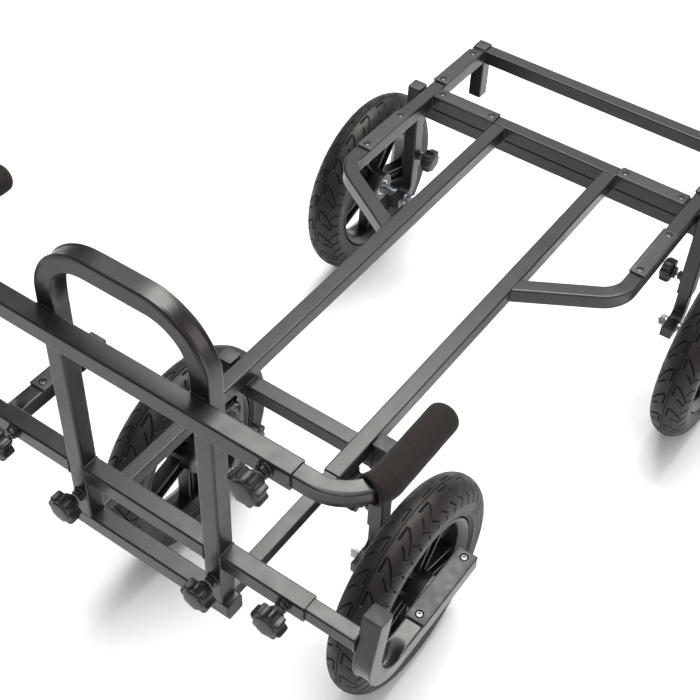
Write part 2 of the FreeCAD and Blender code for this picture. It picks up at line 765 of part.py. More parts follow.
def build_foam_arms():
    y = crossbar_station()
    z = d["crossbar_level"]
    inside = d["crossbar_half"] - d["arm_hidden"]
    first = d["arm_offset"] - inside
    last = d["arm_end"] - y
    turn = as_size(90)
    for side, word in ((-1, "left"), (1, "right")):
        tube = bent_tube("FoamArm", first, last, turn, d["arm_bend"], slider=True)
        place(tube, (side * inside, y, z), side * RIGHT, REAR)
        name_node(tube, f"foam_arm_tube_{word}")

        core = new_body("FoamCore")
        section = new_sketch(core, "Section")
        width = d["slider"] + d["foam_play"]
        rounded_rectangle(section, width, width, d["slider_corner"])
        path = new_sketch(core, "Path", "XZ_Plane")
        bend_path(path, first, last, turn, d["arm_bend"])
        sweep(core, section, path)
        place(core, (side * inside, y, z), side * RIGHT, REAR)
        name_node(cut(foam_outside(side), core), f"foam_grip_{word}")


def foam_outside(side):
    """Round foam over the rest of the bend and the straight leg, with a rounded end."""
    body = new_body("Foam")
    section = new_sketch(body, "Section")
    circle(section, d["foam"])
    path = new_sketch(body, "Path", "XZ_Plane")
    y = crossbar_station()
    rest = as_size(90) - d["foam_turn"]
    angle = math.radians(rest.value)
    radius = d["arm_bend"]
    straight = d["foam_end"] - y - radius
    centre = FreeCAD.Vector(radius.value, 0, 0)
    bend_end = centre + FreeCAD.Vector(-math.cos(angle), math.sin(angle), 0) * radius.value
    heading = FreeCAD.Vector(math.sin(angle), math.cos(angle), 0)
    circle_shape = Part.Circle(centre, UP, radius.value)
    path.addGeometry(Part.ArcOfCircle(circle_shape, math.pi - angle, math.pi), False)
    path.addGeometry(Part.LineSegment(bend_end, bend_end + heading * straight.value), False)
    relate(path, "Coincident", 0, END, *ORIGIN)
    relate(path, "PointOnObject", 0, CENTRE, -1)
    relate(path, "Tangent", 0, START, 1, START)
    constrain(path, radius, "Radius", 0)
    constrain(path, radius * (as_size(1) - cosine(rest)) + straight * sine(rest),
              "DistanceX", *ORIGIN, 1, END)
    constrain(path, radius * sine(rest) + straight * cosine(rest), "DistanceY", *ORIGIN, 1, END)
    bar = sweep(body, section, path)
    doc.recompute()
    tip = bend_end + heading * straight.value
    tip = FreeCAD.Vector(tip.x, 0, tip.y)
    edges = [f"Edge{index + 1}" for index, edge in enumerate(bar.Shape.Edges)
             if edge.BoundBox.Center.distanceToPoint(tip) < 1]
    rounding = body.newObject("PartDesign::Fillet", "ClosedEnd")
    rounding.Base = (bar, edges)
    bind(rounding, "Radius", d["foam_round"])
    body.Tip = rounding
    start_turn = d["foam_turn"]
    x = d["arm_offset"] - radius + radius * sine(start_turn)
    start_y = y + radius - radius * cosine(start_turn)
    phi = math.radians(start_turn.value)
    along = FreeCAD.Vector(side * math.cos(phi), math.sin(phi), 0)
    across = FreeCAD.Vector(-side * math.sin(phi), math.cos(phi), 0)
    return place(body, (side * x, start_y, d["crossbar_level"]), along, across)


# ---------------------------------------------------------------- side arms

def leg_end():
    return d["upright_vertex"] + d["leg_length"]


def build_side_arms(cap, plate, screw):
    """A leaning upright bent into a level leg, on a slider that enters the lower cross tube."""
    lean = math.radians(d["arm_lean"].value)
    down = FreeCAD.Vector(0, -math.sin(lean), -math.cos(lean))
    across = FreeCAD.Vector(0, math.cos(lean), -math.sin(lean))
    top_y = d["upright_vertex"] + d["upright_length"] * sine(d["arm_lean"])
    top_z = d["leg_level"] + d["upright_length"] * cosine(d["arm_lean"])
    leg_top = d["leg_level"] + HALF_TUBE
    half_pitch = d["pad_pitch"] / 2
    for side, word, shift in ((-1, "left", d["side_arm_shift"]), (1, "right", ZERO)):
        inside = d["crossbar_half"] - d["side_arm_hidden"] - shift
        inner_face = d["side_arm"] - shift - HALF_TUBE
        x = side * (d["side_arm"] - shift)
        bar = bent_tube("SideArm", d["upright_length"], d["leg_length"], d["arm_lean"] + 90, d["leg_bend"])
        place(bar, (x, top_y, top_z), down, across)
        slider = straight_tube("SideSlider", (side * inside, d["hoop_station"], d["lower_level"]),
                               side * RIGHT, inner_face - inside, slider=True)
        spots = [(x, d["leg_pad"] + end * half_pitch) for end in (-1, 1)]
        holes = [(d["screw_hole"], d["tube"], (px, py, d["leg_level"]), UP) for px, py in spots]
        name_node(drilled(fuse([bar, slider]), holes), f"side_arm_{word}")
        seat = leg_top + d["pad_depth"] - d["recess_depth"]
        trim = [(screw, (px, py, seat), UP, RIGHT) for px, py in spots]
        trim.append((plate, (x, d["leg_pad"], leg_top), UP, RIGHT))
        trim.append((cap, (x, leg_end(), d["leg_level"]), REAR, RIGHT))
        trim.append((cap, (x, top_y, top_z), -down, RIGHT))
        name_node(copy_group(trim), f"side_arm_trim_{word}")


def copy_group(items):
    return compound([copy_of(*item) for item in items])


# ---------------------------------------------------------------- wheel legs and wheels

def wheel_offset():
    """From a sleeve's centre out to its wheel's middle."""
    return d["slider"] / 2 + d["spacer_length"] + 2 * d["hub_play"] + d["hub_half"]


def build_strut(corner, x, y):
    """Slides in its sleeve, bends forward and carries the axle bolt near its end."""
    first = d["strut_top"] - d["wheel_radius"]
    bar = bent_tube("Strut", first, d["strut_reach"], as_size(90), d["strut_bend"], slider=True)
    place(bar, (x, y, d["strut_top"]), -UP, -REAR)
    hole = (d["axle"] + 0.4, 2 * d["slider"],
            (x - d["slider"], y - d["axle_set_back"], d["wheel_radius"]), RIGHT)
    head = straight_block("StrutCap", (x, y - d["strut_reach"], d["wheel_radius"]), -REAR,
                          d["slider"], d["cap_head"])
    name_node(compound([drilled(bar, [hole]), head]), f"strut_{corner}")


def straight_block(name, at, along, side, length):
    body = new_body(name)
    sketch = new_sketch(body, "Outline")
    rounded_rectangle(sketch, side, side, d["slider_corner"])
    pad(body, sketch, length)
    return place(body, at, along)


def bored(shell, bore, length, at, along):
    return cut(shell, cylinder(bore, length, at, along))


def build_axle(corner, x, y, side):
    """Bolt, nut, two washers and the spacer between the leg and the hub."""
    out = side * RIGHT
    middle = x + side * wheel_offset()
    z = d["wheel_radius"]

    def spot(distance):
        return (middle + side * distance, y, z)

    outer = d["hub_half"] + d["hub_play"]
    leg_inner = -(wheel_offset() + d["slider"] / 2)
    spacer_at = -(outer + d["spacer_length"])
    nut_at = leg_inner - d["washer_depth"] - d["nut_height"]
    length = 4 * d["washer"]
    spacer = bored(cylinder(d["spacer"], d["spacer_length"], spot(spacer_at), out),
                   d["axle_fit"], length, spot(spacer_at - 10), out)
    washer = bored(cylinder(d["washer"], d["washer_depth"], spot(outer), out),
                   d["axle_fit"], length, spot(outer - 10), out)
    inner_washer = bored(cylinder(d["washer"], d["washer_depth"], spot(leg_inner - d["washer_depth"]), out),
                         d["axle_fit"], length, spot(leg_inner - 10), out)
    nut = bored(hexagon(d["hex_across"], d["nut_height"], spot(nut_at), out),
                d["axle_fit"], length, spot(nut_at - 10), out)
    tail = nut_at - d["axle_tail"]
    head_at = outer + d["washer_depth"]
    shank = cylinder(d["axle"], head_at - tail, spot(tail), out)
    head = hexagon(d["hex_across"], d["head_height"], spot(head_at), out)
    name_node(compound([fuse([shank, head]), nut, inner_washer, washer, spacer]), f"axle_{corner}")


def build_tyre(corner, at, out):
    """Open casing, and the hollow inner tube with its valve stem."""
    ring_radius = d["wheel_radius"] - d["tyre_section"]
    body = new_body("Casing")
    profile = new_sketch(body, "Profile", "XZ_Plane")
    opening = math.radians(BEAD_ANGLE)
    centre = FreeCAD.Vector(ring_radius.value, 0, 0)
    radii = (d["tyre_section"], d["tyre_section"] - d["tyre_wall"])
    ends = []
    for radius in radii:
        shape = Part.Circle(centre, UP, radius.value)
        profile.addGeometry(Part.ArcOfCircle(shape, -opening, opening), False)
        ends.append([centre + FreeCAD.Vector(math.cos(opening), turn * math.sin(opening), 0) * radius.value
                     for turn in (-1, 1)])
    profile.addGeometry(Part.LineSegment(ends[0][0], ends[1][0]), False)
    profile.addGeometry(Part.LineSegment(ends[0][1], ends[1][1]), False)
    for arc, point in ((0, START), (1, END)):
        relate(profile, "Coincident", arc, START, 2, point)
        relate(profile, "Coincident", arc, END, 3, point)
        relate(profile, "Symmetric", arc, START, arc, END, -1)
        constrain(profile, radii[arc], "Radius", arc)
        edge = ring_radius + radii[arc] * cosine(as_size(BEAD_ANGLE))
        constrain(profile, edge, "DistanceX", *ORIGIN, arc, START)
    constrain(profile, ring_radius, "DistanceX", *ORIGIN, 0, CENTRE)
    relate(profile, "PointOnObject", 0, CENTRE, -1)
    relate(profile, "Coincident", 0, CENTRE, 1, CENTRE)
    revolve(body, profile)
    place(body, at, out)
    name_node(body, f"tyre_{corner}")
    skins = []
    for section in (d["inner_tube"], d["inner_tube"] - d["inner_tube_wall"]):
        skin = doc.addObject("Part::Torus", "InnerTube")
        bind(skin, "Radius1", ring_radius)
        bind(skin, "Radius2", section)
        skins.append(place(skin, at, out))
    stem_at = (at[0], at[1], at[2] - d["valve_foot"])
    stem = cylinder(d["valve"], d["valve_length"], stem_at, UP)
    name_node(fuse([cut(*skins), stem]), f"inner_tube_{corner}")


def build_rim(corner, at, out):
    """Rim: the band that holds the tyre, five spokes, the hub and its two bearings."""
    body = new_body("Band")
    band = new_sketch(body, "Profile", "XZ_Plane")
    half, lip, well = d["rim_half"], d["rim_half"] - d["rim_lip"], d["rim_half"] - d["rim_slope"]
    polygon(band, [(d["rim_inner"], -half), (d["rim_outer"], -half), (d["rim_outer"], -lip),
                   (d["rim_well"], -well), (d["rim_well"], well), (d["rim_outer"], lip),
                   (d["rim_outer"], half), (d["rim_inner"], half)])
    revolve(body, band)
    place(body, at, out)
    valve_hole = (d["valve"] + 1, as_size(20), (at[0], at[1], at[2] - d["rim_well"] - 6))
    parts = [drilled(body, [valve_hole]), rim_hub(at, out), rim_spokes(at, out)]
    for end in (-1, 1):
        race = bearing_place(at, out, end)
        ring_solid = cylinder(d["bearing"], d["bearing_width"], race, end * out)
        parts.append(bored(ring_solid, d["axle_fit"], d["bearing_width"] + 4, shifted(race, out, -2 * end),
                           end * out))
    name_node(compound(parts), f"rim_{corner}")


def rim_hub(at, out):
    """Hub with a seat for a bearing at each end."""
    body = new_body("Hub")
    hub = new_sketch(body, "Profile", "XZ_Plane")
    inner, outer, length = d["hub_bore"] / 2, d["hub"] / 2, d["hub_half"]
    seat, floor = d["bearing"] / 2, d["hub_half"] - d["bearing_width"]
    polygon(hub, [(inner, -floor), (seat, -floor), (seat, -length), (outer, -length),
                  (outer, length), (seat, length), (seat, floor), (inner, floor)])
    revolve(body, hub)
    return place(body, at, out)


def rim_spokes(at, out):
    """Five spokes, each from the hub to the inside of the band."""
    body = new_body("Spokes")
    section = new_sketch(body, "Section", "YZ_Plane")
    rounded_rectangle(section, d["spoke_width"], d["spoke_depth"], d["spoke_corner"])
    arm = pad(body, section, d["rim_inner"] + 2)
    polar(body, arm, SPOKES)
    place(body, at, out)
    start, width = shifted(at, out, -d["rim_half"]), 2 * d["rim_half"]
    inside = doc.addObject("Part::Common", "Inside")
    inside.Base = body
    inside.Tool = cylinder(2 * d["rim_inner"], width, start, out)
    return cut(inside, cylinder(d["hub"], width, start, out))


def shifted(at, out, distance):
    return (at[0] + out.x * distance, at[1], at[2])


def bearing_place(at, out, end):
    return shifted(at, out, end * (d["hub_half"] - d["bearing_width"]))


def build_wheels():
    for corner, x, y, side in sleeve_places():
        axle_y = y - d["axle_set_back"]
        at = (x + side * wheel_offset(), axle_y, d["wheel_radius"])
        build_strut(corner, x, y)
        build_axle(corner, x, axle_y, side)
        build_tyre(corner, at, side * RIGHT)
        build_rim(corner, at, side * RIGHT)


# ---------------------------------------------------------------- knobs

def make_knob():
    """Star knob with its stud; z = 0 is the boss's outer face and the head is above it."""
    body = new_body("KnobMaster")
    stud = new_sketch(body, "Stud")
    circle(stud, d["stud"])
    reach = d["boss_height"] + d["wall"] + (BORE - d["slider"]) / 2 - d["stud_gap"]
    pad(body, stud, reach, reverse=True)
    shaft = new_sketch(body, "Shaft")
    circle(shaft, d["stud"])
    pad(body, shaft, d["knob_stand"] + d["knob_back"] / 2)
    disc = new_sketch(body, "Disc")
    circle(disc, d["knob"])
    lift(disc, d["knob_stand"] + d["knob_back"])
    star = pad(body, disc, d["knob_depth"] - d["knob_back"])
    doc.recompute()
    top = d["knob_stand"].value + d["knob_depth"].value
    rim = [f"Edge{index + 1}" for index, edge in enumerate(star.Shape.Edges)
           if abs(edge.BoundBox.ZMin - top) < 1e-6]
    rounding = body.newObject("PartDesign::Fillet", "Edge")
    rounding.Base = (star, rim)
    bind(rounding, "Radius", d["knob_round"])
    body.Tip = rounding
    hollow = new_sketch(body, "Hollow")
    circle(hollow, d["knob_scallop"], d["knob_scallop_ring"])
    scallop = pocket(body, hollow, d["knob_stand"] + d["knob_depth"] + 1, reverse=True)
    polar(body, scallop, KNOB_LOBES)
    neck = new_sketch(body, "Neck")
    circle(neck, d["knob_neck"])
    lift(neck, d["knob_stand"])
    pad(body, neck, d["knob_back"] + 2)
    return body


def build_knobs(knob):
    """Twelve clamp knobs, each with its stud through its boss."""
    places = {}
    for name, (x, y, z) in hoop_boss_places().items():
        places[name] = ((x, y - d["boss_height"], z), -REAR)
    for corner, x, y, side in sleeve_places():
        face = x - side * (HALF_TUBE + d["boss_height"])
        places[f"sleeve_knob_{corner}"] = ((face, y, d["sleeve_knob"]), -side * RIGHT)
    for side, word in ((-1, "left"), (1, "right")):
        at = (side * d["rail_offset"], d["rail_knob"], FRAME_BOTTOM - d["boss_height"])
        places[f"rail_knob_{word}"] = (at, -UP)
    for name, (at, along) in places.items():
        name_node(copy_group([(knob, at, along)]), name)


# ---------------------------------------------------------------- the model

def check_model():
    doc.recompute()
    for item in doc.Objects:
        if "Invalid" in item.State or "Error" in item.State:
            raise RuntimeError(f"{item.Name} ({item.Label}) did not recompute")
    for label, item in nodes.items():
        shape = item.Shape
        if shape.isNull() or not shape.isValid() or not shape.Solids:
            raise RuntimeError(f"{label} has no valid solid")


def write_parts():
    os.makedirs("parts", exist_ok=True)
    for label, item in nodes.items():
        item.Shape.exportStep(f"parts/{label}.step")
    box = Part.makeCompound([item.Shape for item in nodes.values()]).optimalBoundingBox(False)
    print(f"{len(nodes)} nodes, x {box.XMin:.1f} to {box.XMax:.1f}, y {box.YMin:.1f} to {box.YMax:.1f},"
          f" z {box.ZMin:.1f} to {box.ZMax:.1f}")


def build_model():
    cap, plate, screw, boss, knob = make_cap(), make_pad(), make_screw(), make_boss(), make_knob()
    build_long_rails()
    build_cross_tubes()
    build_side_rails()
    build_uprights()
    build_frame_trim(cap, plate, screw, boss)
    build_front_slide(cap)
    build_hoop()
    build_crossbars(boss)
    build_foam_arms()
    build_side_arms(cap, plate, screw)
    build_wheels()
    build_knobs(knob)
    check_model()
    write_parts()


build_model()
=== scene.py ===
import json
import math

import bmesh
import bpy
import numpy as np
from mathutils import Matrix, Vector

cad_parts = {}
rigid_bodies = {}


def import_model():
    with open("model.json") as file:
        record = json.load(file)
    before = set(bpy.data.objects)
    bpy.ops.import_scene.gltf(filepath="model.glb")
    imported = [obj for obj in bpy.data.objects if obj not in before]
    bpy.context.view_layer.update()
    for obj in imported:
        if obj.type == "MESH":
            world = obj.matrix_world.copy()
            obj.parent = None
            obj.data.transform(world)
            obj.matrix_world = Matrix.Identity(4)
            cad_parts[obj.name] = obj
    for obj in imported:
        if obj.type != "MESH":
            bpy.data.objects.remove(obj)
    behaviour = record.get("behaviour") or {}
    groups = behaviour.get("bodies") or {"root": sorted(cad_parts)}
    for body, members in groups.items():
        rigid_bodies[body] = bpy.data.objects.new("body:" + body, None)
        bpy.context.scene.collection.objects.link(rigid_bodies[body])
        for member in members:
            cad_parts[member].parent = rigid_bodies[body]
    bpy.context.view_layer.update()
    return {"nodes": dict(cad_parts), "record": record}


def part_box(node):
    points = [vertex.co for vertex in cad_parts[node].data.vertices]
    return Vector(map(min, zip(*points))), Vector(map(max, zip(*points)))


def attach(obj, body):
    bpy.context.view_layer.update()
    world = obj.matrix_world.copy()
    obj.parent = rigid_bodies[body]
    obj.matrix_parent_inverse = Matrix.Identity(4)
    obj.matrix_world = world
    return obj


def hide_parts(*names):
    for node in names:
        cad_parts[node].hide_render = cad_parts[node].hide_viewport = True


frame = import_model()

MM = 0.001
RIGHT = Vector((1, 0, 0))
REAR = Vector((0, 1, 0))
UP = Vector((0, 0, 1))
CORNERS = ("front_left", "front_right", "rear_left", "rear_right")
SIDES = (("left", -1), ("right", 1))
random = np.random.default_rng(11)


# ---------------------------- places read from the frame

def low(node):
    return Vector(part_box(node)[0])


def high(node):
    return Vector(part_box(node)[1])


def middle(node):
    return (low(node) + high(node)) / 2


def extent(node):
    return high(node) - low(node)


TUBE = extent("handle_crossbar").z
SLIDER = extent("inner_rails").z
TUBE_CORNER = 2.2 * MM
SLIDER_CORNER = 1.6 * MM
FRAME_LEVEL = middle("rear_cross_tube").z
FRAME_TOP = high("rear_cross_tube").z
RAIL_OFFSET = high("long_rails").x - TUBE / 2
KNOB_JOINTS = [joint for joint in frame["record"]["behaviour"]["joints"] if "_knob_" in joint["name"]]


# ---------------------------- materials

def new_material(name, colour, roughness, metallic=0.0):
    material = bpy.data.materials.new(name)
    material.use_nodes = True
    shader = material.node_tree.nodes["Principled BSDF"]
    shader.inputs["Base Color"].default_value = (*colour, 1)
    shader.inputs["Roughness"].default_value = roughness
    shader.inputs["Metallic"].default_value = metallic
    return material, material.node_tree, shader


def noise(tree, scale, detail=3.0):
    """Noise in object space, where one unit is a metre."""
    place = tree.nodes.new("ShaderNodeTexCoord")
    node = tree.nodes.new("ShaderNodeTexNoise")
    node.inputs["Scale"].default_value = scale
    node.inputs["Detail"].default_value = detail
    tree.links.new(place.outputs["Object"], node.inputs["Vector"])
    return node.outputs["Fac"]


def ramp(tree, source, stops):
    """`source` mapped to colours; a stop is (place, colour)."""
    node = tree.nodes.new("ShaderNodeValToRGB")
    elements = node.color_ramp.elements
    while len(elements) < len(stops):
        elements.new(0.5)
    for element, (place, colour) in zip(elements, stops):
        element.position = place
        element.color = (*colour, 1)
    tree.links.new(source, node.inputs["Fac"])
    return node.outputs["Color"]


def grey(value):
    return (value, value, value)


def scaled(colour, factor):
    return tuple(channel * factor for channel in colour)


def vary_colour(tree, shader, colour, scale, spread):
    """Lets the colour wander by `spread` either way over patches of 1 / scale metres."""
    stops = ((0.3, scaled(colour, 1 - spread)), (0.7, scaled(colour, 1 + spread)))
    tree.links.new(ramp(tree, noise(tree, scale), stops), shader.inputs["Base Color"])


def vary_roughness(tree, shader, lowest, highest, scale):
    stops = ((0.3, grey(lowest)), (0.7, grey(highest)))
    tree.links.new(ramp(tree, noise(tree, scale), stops), shader.inputs["Roughness"])


def bump(tree, shader, height, distance, strength):
    node = tree.nodes.new("ShaderNodeBump")
    node.inputs["Distance"].default_value = distance
    node.inputs["Strength"].default_value = strength
    tree.links.new(height, node.inputs["Height"])
    tree.links.new(node.outputs["Normal"], shader.inputs["Normal"])


def powder_coat():
    """Satin black powder coat: a fine orange-peel skin with soft, slightly uneven gloss."""
    colour = (0.0120, 0.0103, 0.0096)
    material, tree, shader = new_material("powder_coat", colour, 0.32)
    vary_colour(tree, shader, colour, 14, 0.10)
    vary_roughness(tree, shader, 0.28, 0.36, 60)
    bump(tree, shader, noise(tree, 900, 2.0), 0.00005, 0.5)
    shader.inputs["Specular Tint"].default_value = (1.0, 0.970, 0.950, 1)
    return material


def moulded_plastic(name, colour, low_rough, high_rough, grain, depth):
    """Moulded black plastic with a spark-eroded grain."""
    material, tree, shader = new_material(name, colour, (low_rough + high_rough) / 2)
    vary_colour(tree, shader, colour, 35, 0.12)
    vary_roughness(tree, shader, low_rough, high_rough, 90)
    bump(tree, shader, noise(tree, grain, 4.0), depth, 0.7)
    return material


def tyre_rubber():
    """Dark grey rubber, slightly dusty, with a very fine mould grain."""
    colour = (0.0110, 0.0096, 0.0090)
    material, tree, shader = new_material("tyre_rubber", colour, 0.6)
    vary_colour(tree, shader, colour, 22, 0.18)
    vary_roughness(tree, shader, 0.44, 0.58, 40)
    shader.inputs["Specular IOR Level"].default_value = 0.36
    bump(tree, shader, noise(tree, 1500, 3.0), 0.00006, 0.6)
    shader.inputs["Specular Tint"].default_value = (1.0, 0.94, 0.90, 1)
    return material


def foam_skin():
    """Closed-cell foam: matte brown-black with fine pores."""
    colour = (0.0150, 0.0112, 0.0098)
    material, tree, shader = new_material("foam_skin", colour, 0.9)
    vary_colour(tree, shader, colour, 300, 0.16)
    place = tree.nodes.new("ShaderNodeTexCoord")
    pores = tree.nodes.new("ShaderNodeTexVoronoi")
    pores.inputs["Scale"].default_value = 1100
    tree.links.new(place.outputs["Object"], pores.inputs["Vector"])
    bump(tree, shader, pores.outputs["Distance"], 0.00022, 0.8)
    shader.inputs["Sheen Weight"].default_value = 0.03
    shader.inputs["Specular IOR Level"].default_value = 0.3
    shader.inputs["Sheen Roughness"].default_value = 0.5
    return material


def zinc_plate():
    """Bright zinc with a faint blue cast and fine turning marks."""
    colour = (0.62, 0.66, 0.70)
    material, tree, shader = new_material("zinc_plate", colour, 0.28, 1.0)
    vary_colour(tree, shader, colour, 160, 0.10)
    vary_roughness(tree, shader, 0.2, 0.42, 240)
    bump(tree, shader, noise(tree, 2200, 2.0), 0.00004, 0.5)
    return material


def screw_steel():
    """Darkened steel of the button-head screws."""
    colour = (0.17, 0.17, 0.175)
    material, tree, shader = new_material("screw_steel", colour, 0.3, 1.0)
    vary_roughness(tree, shader, 0.22, 0.38, 300)
    vary_colour(tree, shader, colour, 240, 0.15)
    return material


PAINT = powder_coat()
CAP_PLASTIC = moulded_plastic("cap_plastic", (0.026, 0.0238, 0.0230), 0.46, 0.58, 1300, 0.00010)
PAD_PLASTIC = moulded_plastic("pad_plastic", (0.022, 0.0200, 0.0192), 0.42, 0.55, 1000, 0.00009)
RIM_PLASTIC = moulded_plastic("rim_plastic", (0.010, 0.0095, 0.0095), 0.30, 0.42, 700, 0.00006)
KNOB_PLASTIC = moulded_plastic("knob_plastic", (0.010, 0.0092, 0.0090), 0.34, 0.46, 1100, 0.00008)
RUBBER = tyre_rubber()
FOAM = foam_skin()
ZINC = zinc_plate()
SCREW = screw_steel()


# ---------------------------- mesh helpers

def add_object(name, mesh, sharp_angle=38):
    mesh.shade_smooth()
    mesh.set_sharp_from_angle(angle=math.radians(sharp_angle))
    item = bpy.data.objects.new(name, mesh)
    bpy.context.collection.objects.link(item)
    return item


def mesh_of(name, points, faces, merge=0.0):
    """A mesh with its normals turned outwards; points closer together than `merge` become one."""
    mesh = bpy.data.meshes.new(name)
    mesh.from_pydata([tuple(point) for point in points], [], faces)
    work = bmesh.new()
    work.from_mesh(mesh)
    if merge:
        bmesh.ops.remove_doubles(work, verts=work.verts, dist=merge)
    bmesh.ops.recalc_face_normals(work, faces=work.faces)
    work.to_mesh(mesh)
    work.free()
    return mesh


def grid_faces(rows, columns, wrap_rows, wrap_columns):
    """Quads between points that are listed row by row."""
    faces = []
    for row in range(rows if wrap_rows else rows - 1):
        following = (row + 1) % rows
        for column in range(columns if wrap_columns else columns - 1):
            beside = (column + 1) % columns
            faces.append((row * columns + column, row * columns + beside,
                          following * columns + beside, following * columns + column))
    return faces


def loft(rings):
    """Points and faces of a closed skin through the rings, with a face over each end."""
    columns = len(rings[0])
    points = [point for ring in rings for point in ring]
    faces = grid_faces(len(rings), columns, False, True)
    faces.append(tuple(range(columns)))
    last = (len(rings) - 1) * columns
    faces.append(tuple(range(last + columns - 1, last - 1, -1)))
    return points, faces


def join(parts):
    """One list of points and faces from several."""
    points, faces = [], []
    for more_points, more_faces in parts:
        base = len(points)
        points.extend(more_points)
        faces.extend(tuple(base + index for index in face) for face in more_faces)
    return points, faces


def moved(part, matrix):
    points, faces = part
    return [matrix @ Vector(point) for point in points], faces


def frame_matrix(at, along, across):
    """Local Z along `along`, local X along `across`, origin at `at`."""
    along = Vector(along).normalized()
    across = Vector(across).normalized()
    side = along.cross(across)
    turn = Matrix((across, side, along)).transposed().to_4x4()
    return Matrix.Translation(at) @ turn


def rounded_rectangle(width, height, corner, flat_steps, corner_steps):
    """Outline points, counter-clockwise, with extra points along the flats."""
    half_x, half_y = width / 2 - corner, height / 2 - corner
    centres = ((half_x, half_y), (-half_x, half_y), (-half_x, -half_y), (half_x, -half_y))
    arcs = []
    for turn, (x, y) in enumerate(centres):
        angles = [(turn + step / corner_steps) * math.pi / 2 for step in range(corner_steps + 1)]
        arcs.append([(x + corner * math.cos(angle), y + corner * math.sin(angle)) for angle in angles])
    points = []
    for arc, following in zip(arcs, arcs[1:] + arcs[:1]):
        (x, y), (next_x, next_y) = arc[-1], following[0]
        points.extend(arc)
        for step in range(1, flat_steps):
            share = step / flat_steps
            points.append((x + (next_x - x) * share, y + (next_y - y) * share))
    return points


def smooth(value):
    """Eases from 0 to 1 as `value` does, and stays there on both sides."""
    value = min(max(value, 0.0), 1.0)
    return value * value * (3 - 2 * value)


def circle(radius, height, steps):
    ring = []
    for step in range(steps):
        angle = 2 * math.pi * step / steps
        ring.append(Vector((radius * math.cos(angle), radius * math.sin(angle), height)))
    return ring


def hexagon(flat, height, steps, corner=1.0):
    """A hexagon whose flats are `flat` from the middle and whose corners stop at `corner` from it."""
    ring = []
    for step in range(steps):
        angle = 2 * math.pi * step / steps
        reach = min(flat / math.cos((angle + math.pi / 6) % (math.pi / 3) - math.pi / 6), corner)
        ring.append(Vector((reach * math.cos(angle), reach * math.sin(angle), height)))
    return ring


def lathe(profile, steps):
    """A closed profile of (radius, height) turned about the local Z axis."""
    points = []
    for step in range(steps):
        angle = 2 * math.pi * step / steps
        points.extend((r * math.cos(angle), r * math.sin(angle), z) for r, z in profile)
    return points, grid_faces(steps, len(profile), True, True)


def spindle(profile, steps):
    """A profile that starts and ends on the local Z axis, turned about it."""
    inner = profile[1:-1]
    points = []
    for step in range(steps):
        angle = 2 * math.pi * step / steps
        points.extend((r * math.cos(angle), r * math.sin(angle), z) for r, z in inner)
    faces = grid_faces(steps, len(inner), True, False)
    bottom, top = len(points), len(points) + 1
    points.extend(((0, 0, profile[0][1]), (0, 0, profile[-1][1])))
    for step in range(steps):
        here, there = step * len(inner), ((step + 1) % steps) * len(inner)
        faces.append((bottom, there, here))
        faces.append((top, here + len(inner) - 1, there + len(inner) - 1))
    return points, faces


def bevel(item, width):
    modifier = item.modifiers.new("edges", "BEVEL")
    modifier.width = width
    modifier.segments = 2
    modifier.limit_method = "ANGLE"
    modifier.angle_limit = math.radians(35)


def settle(item, material, body, slot, *nodes):
    """Gives a piece its material and its body, and hides the CAD nodes that it stands for; `slot` is not
    used.
    """
    if not item.data.materials:
        item.data.materials.append(material)
    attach(item, body)
    if nodes:
        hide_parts(*nodes)


# ---------------------------- bent square tubes

STATION_STEP = 3.5 * MM
ARC_STEP = 3.0


def stations(legs):
    """(u, v, heading, share of bend) along a path in a plane; it starts up the v axis.

    A leg is ("line", length) or ("arc", radius, degrees), and every arc turns towards +u. The share
    runs from 0 at the start of the one bend to 1 at its end, and on past both into the straights.
    """
    lengths = [leg[1] if leg[0] == "line" else leg[1] * math.radians(leg[2]) for leg in legs]
    bends = [index for index, leg in enumerate(legs) if leg[0] == "arc"]
    bend_start = sum(lengths[:bends[0]]) if bends else 0.0
    bend_length = lengths[bends[0]] if bends else 0.0
    u = v = heading = travelled = 0.0
    found = [(u, v, heading, travelled)]
    for leg, length in zip(legs, lengths):
        steps = max(2, round(length / STATION_STEP)) if leg[0] == "line" else max(4, round(leg[2] / ARC_STEP))
        start = heading
        corner_u, corner_v = u, v
        for step in range(1, steps + 1):
            share = step / steps
            if leg[0] == "line":
                u = corner_u + math.sin(heading) * length * share
                v = corner_v + math.cos(heading) * length * share
            else:
                heading = start + math.radians(leg[2]) * share
                u = corner_u + leg[1] * (math.cos(start) - math.cos(heading))
                v = corner_v + leg[1] * (math.sin(heading) - math.sin(start))
            found.append((u, v, heading, travelled + length * share))
        travelled += length
    if not bends:
        return [(u, v, heading, -9.0) for u, v, heading, _ in found]
    return [(u, v, heading, (reach - bend_start) / bend_length) for u, v, heading, reach in found]


def bend_weight(share, peak, spread):
    """How far a wall is pushed in: 1 at `peak`, fading to 0 within `spread` either side."""
    return smooth(1 - abs(share - peak) / spread)


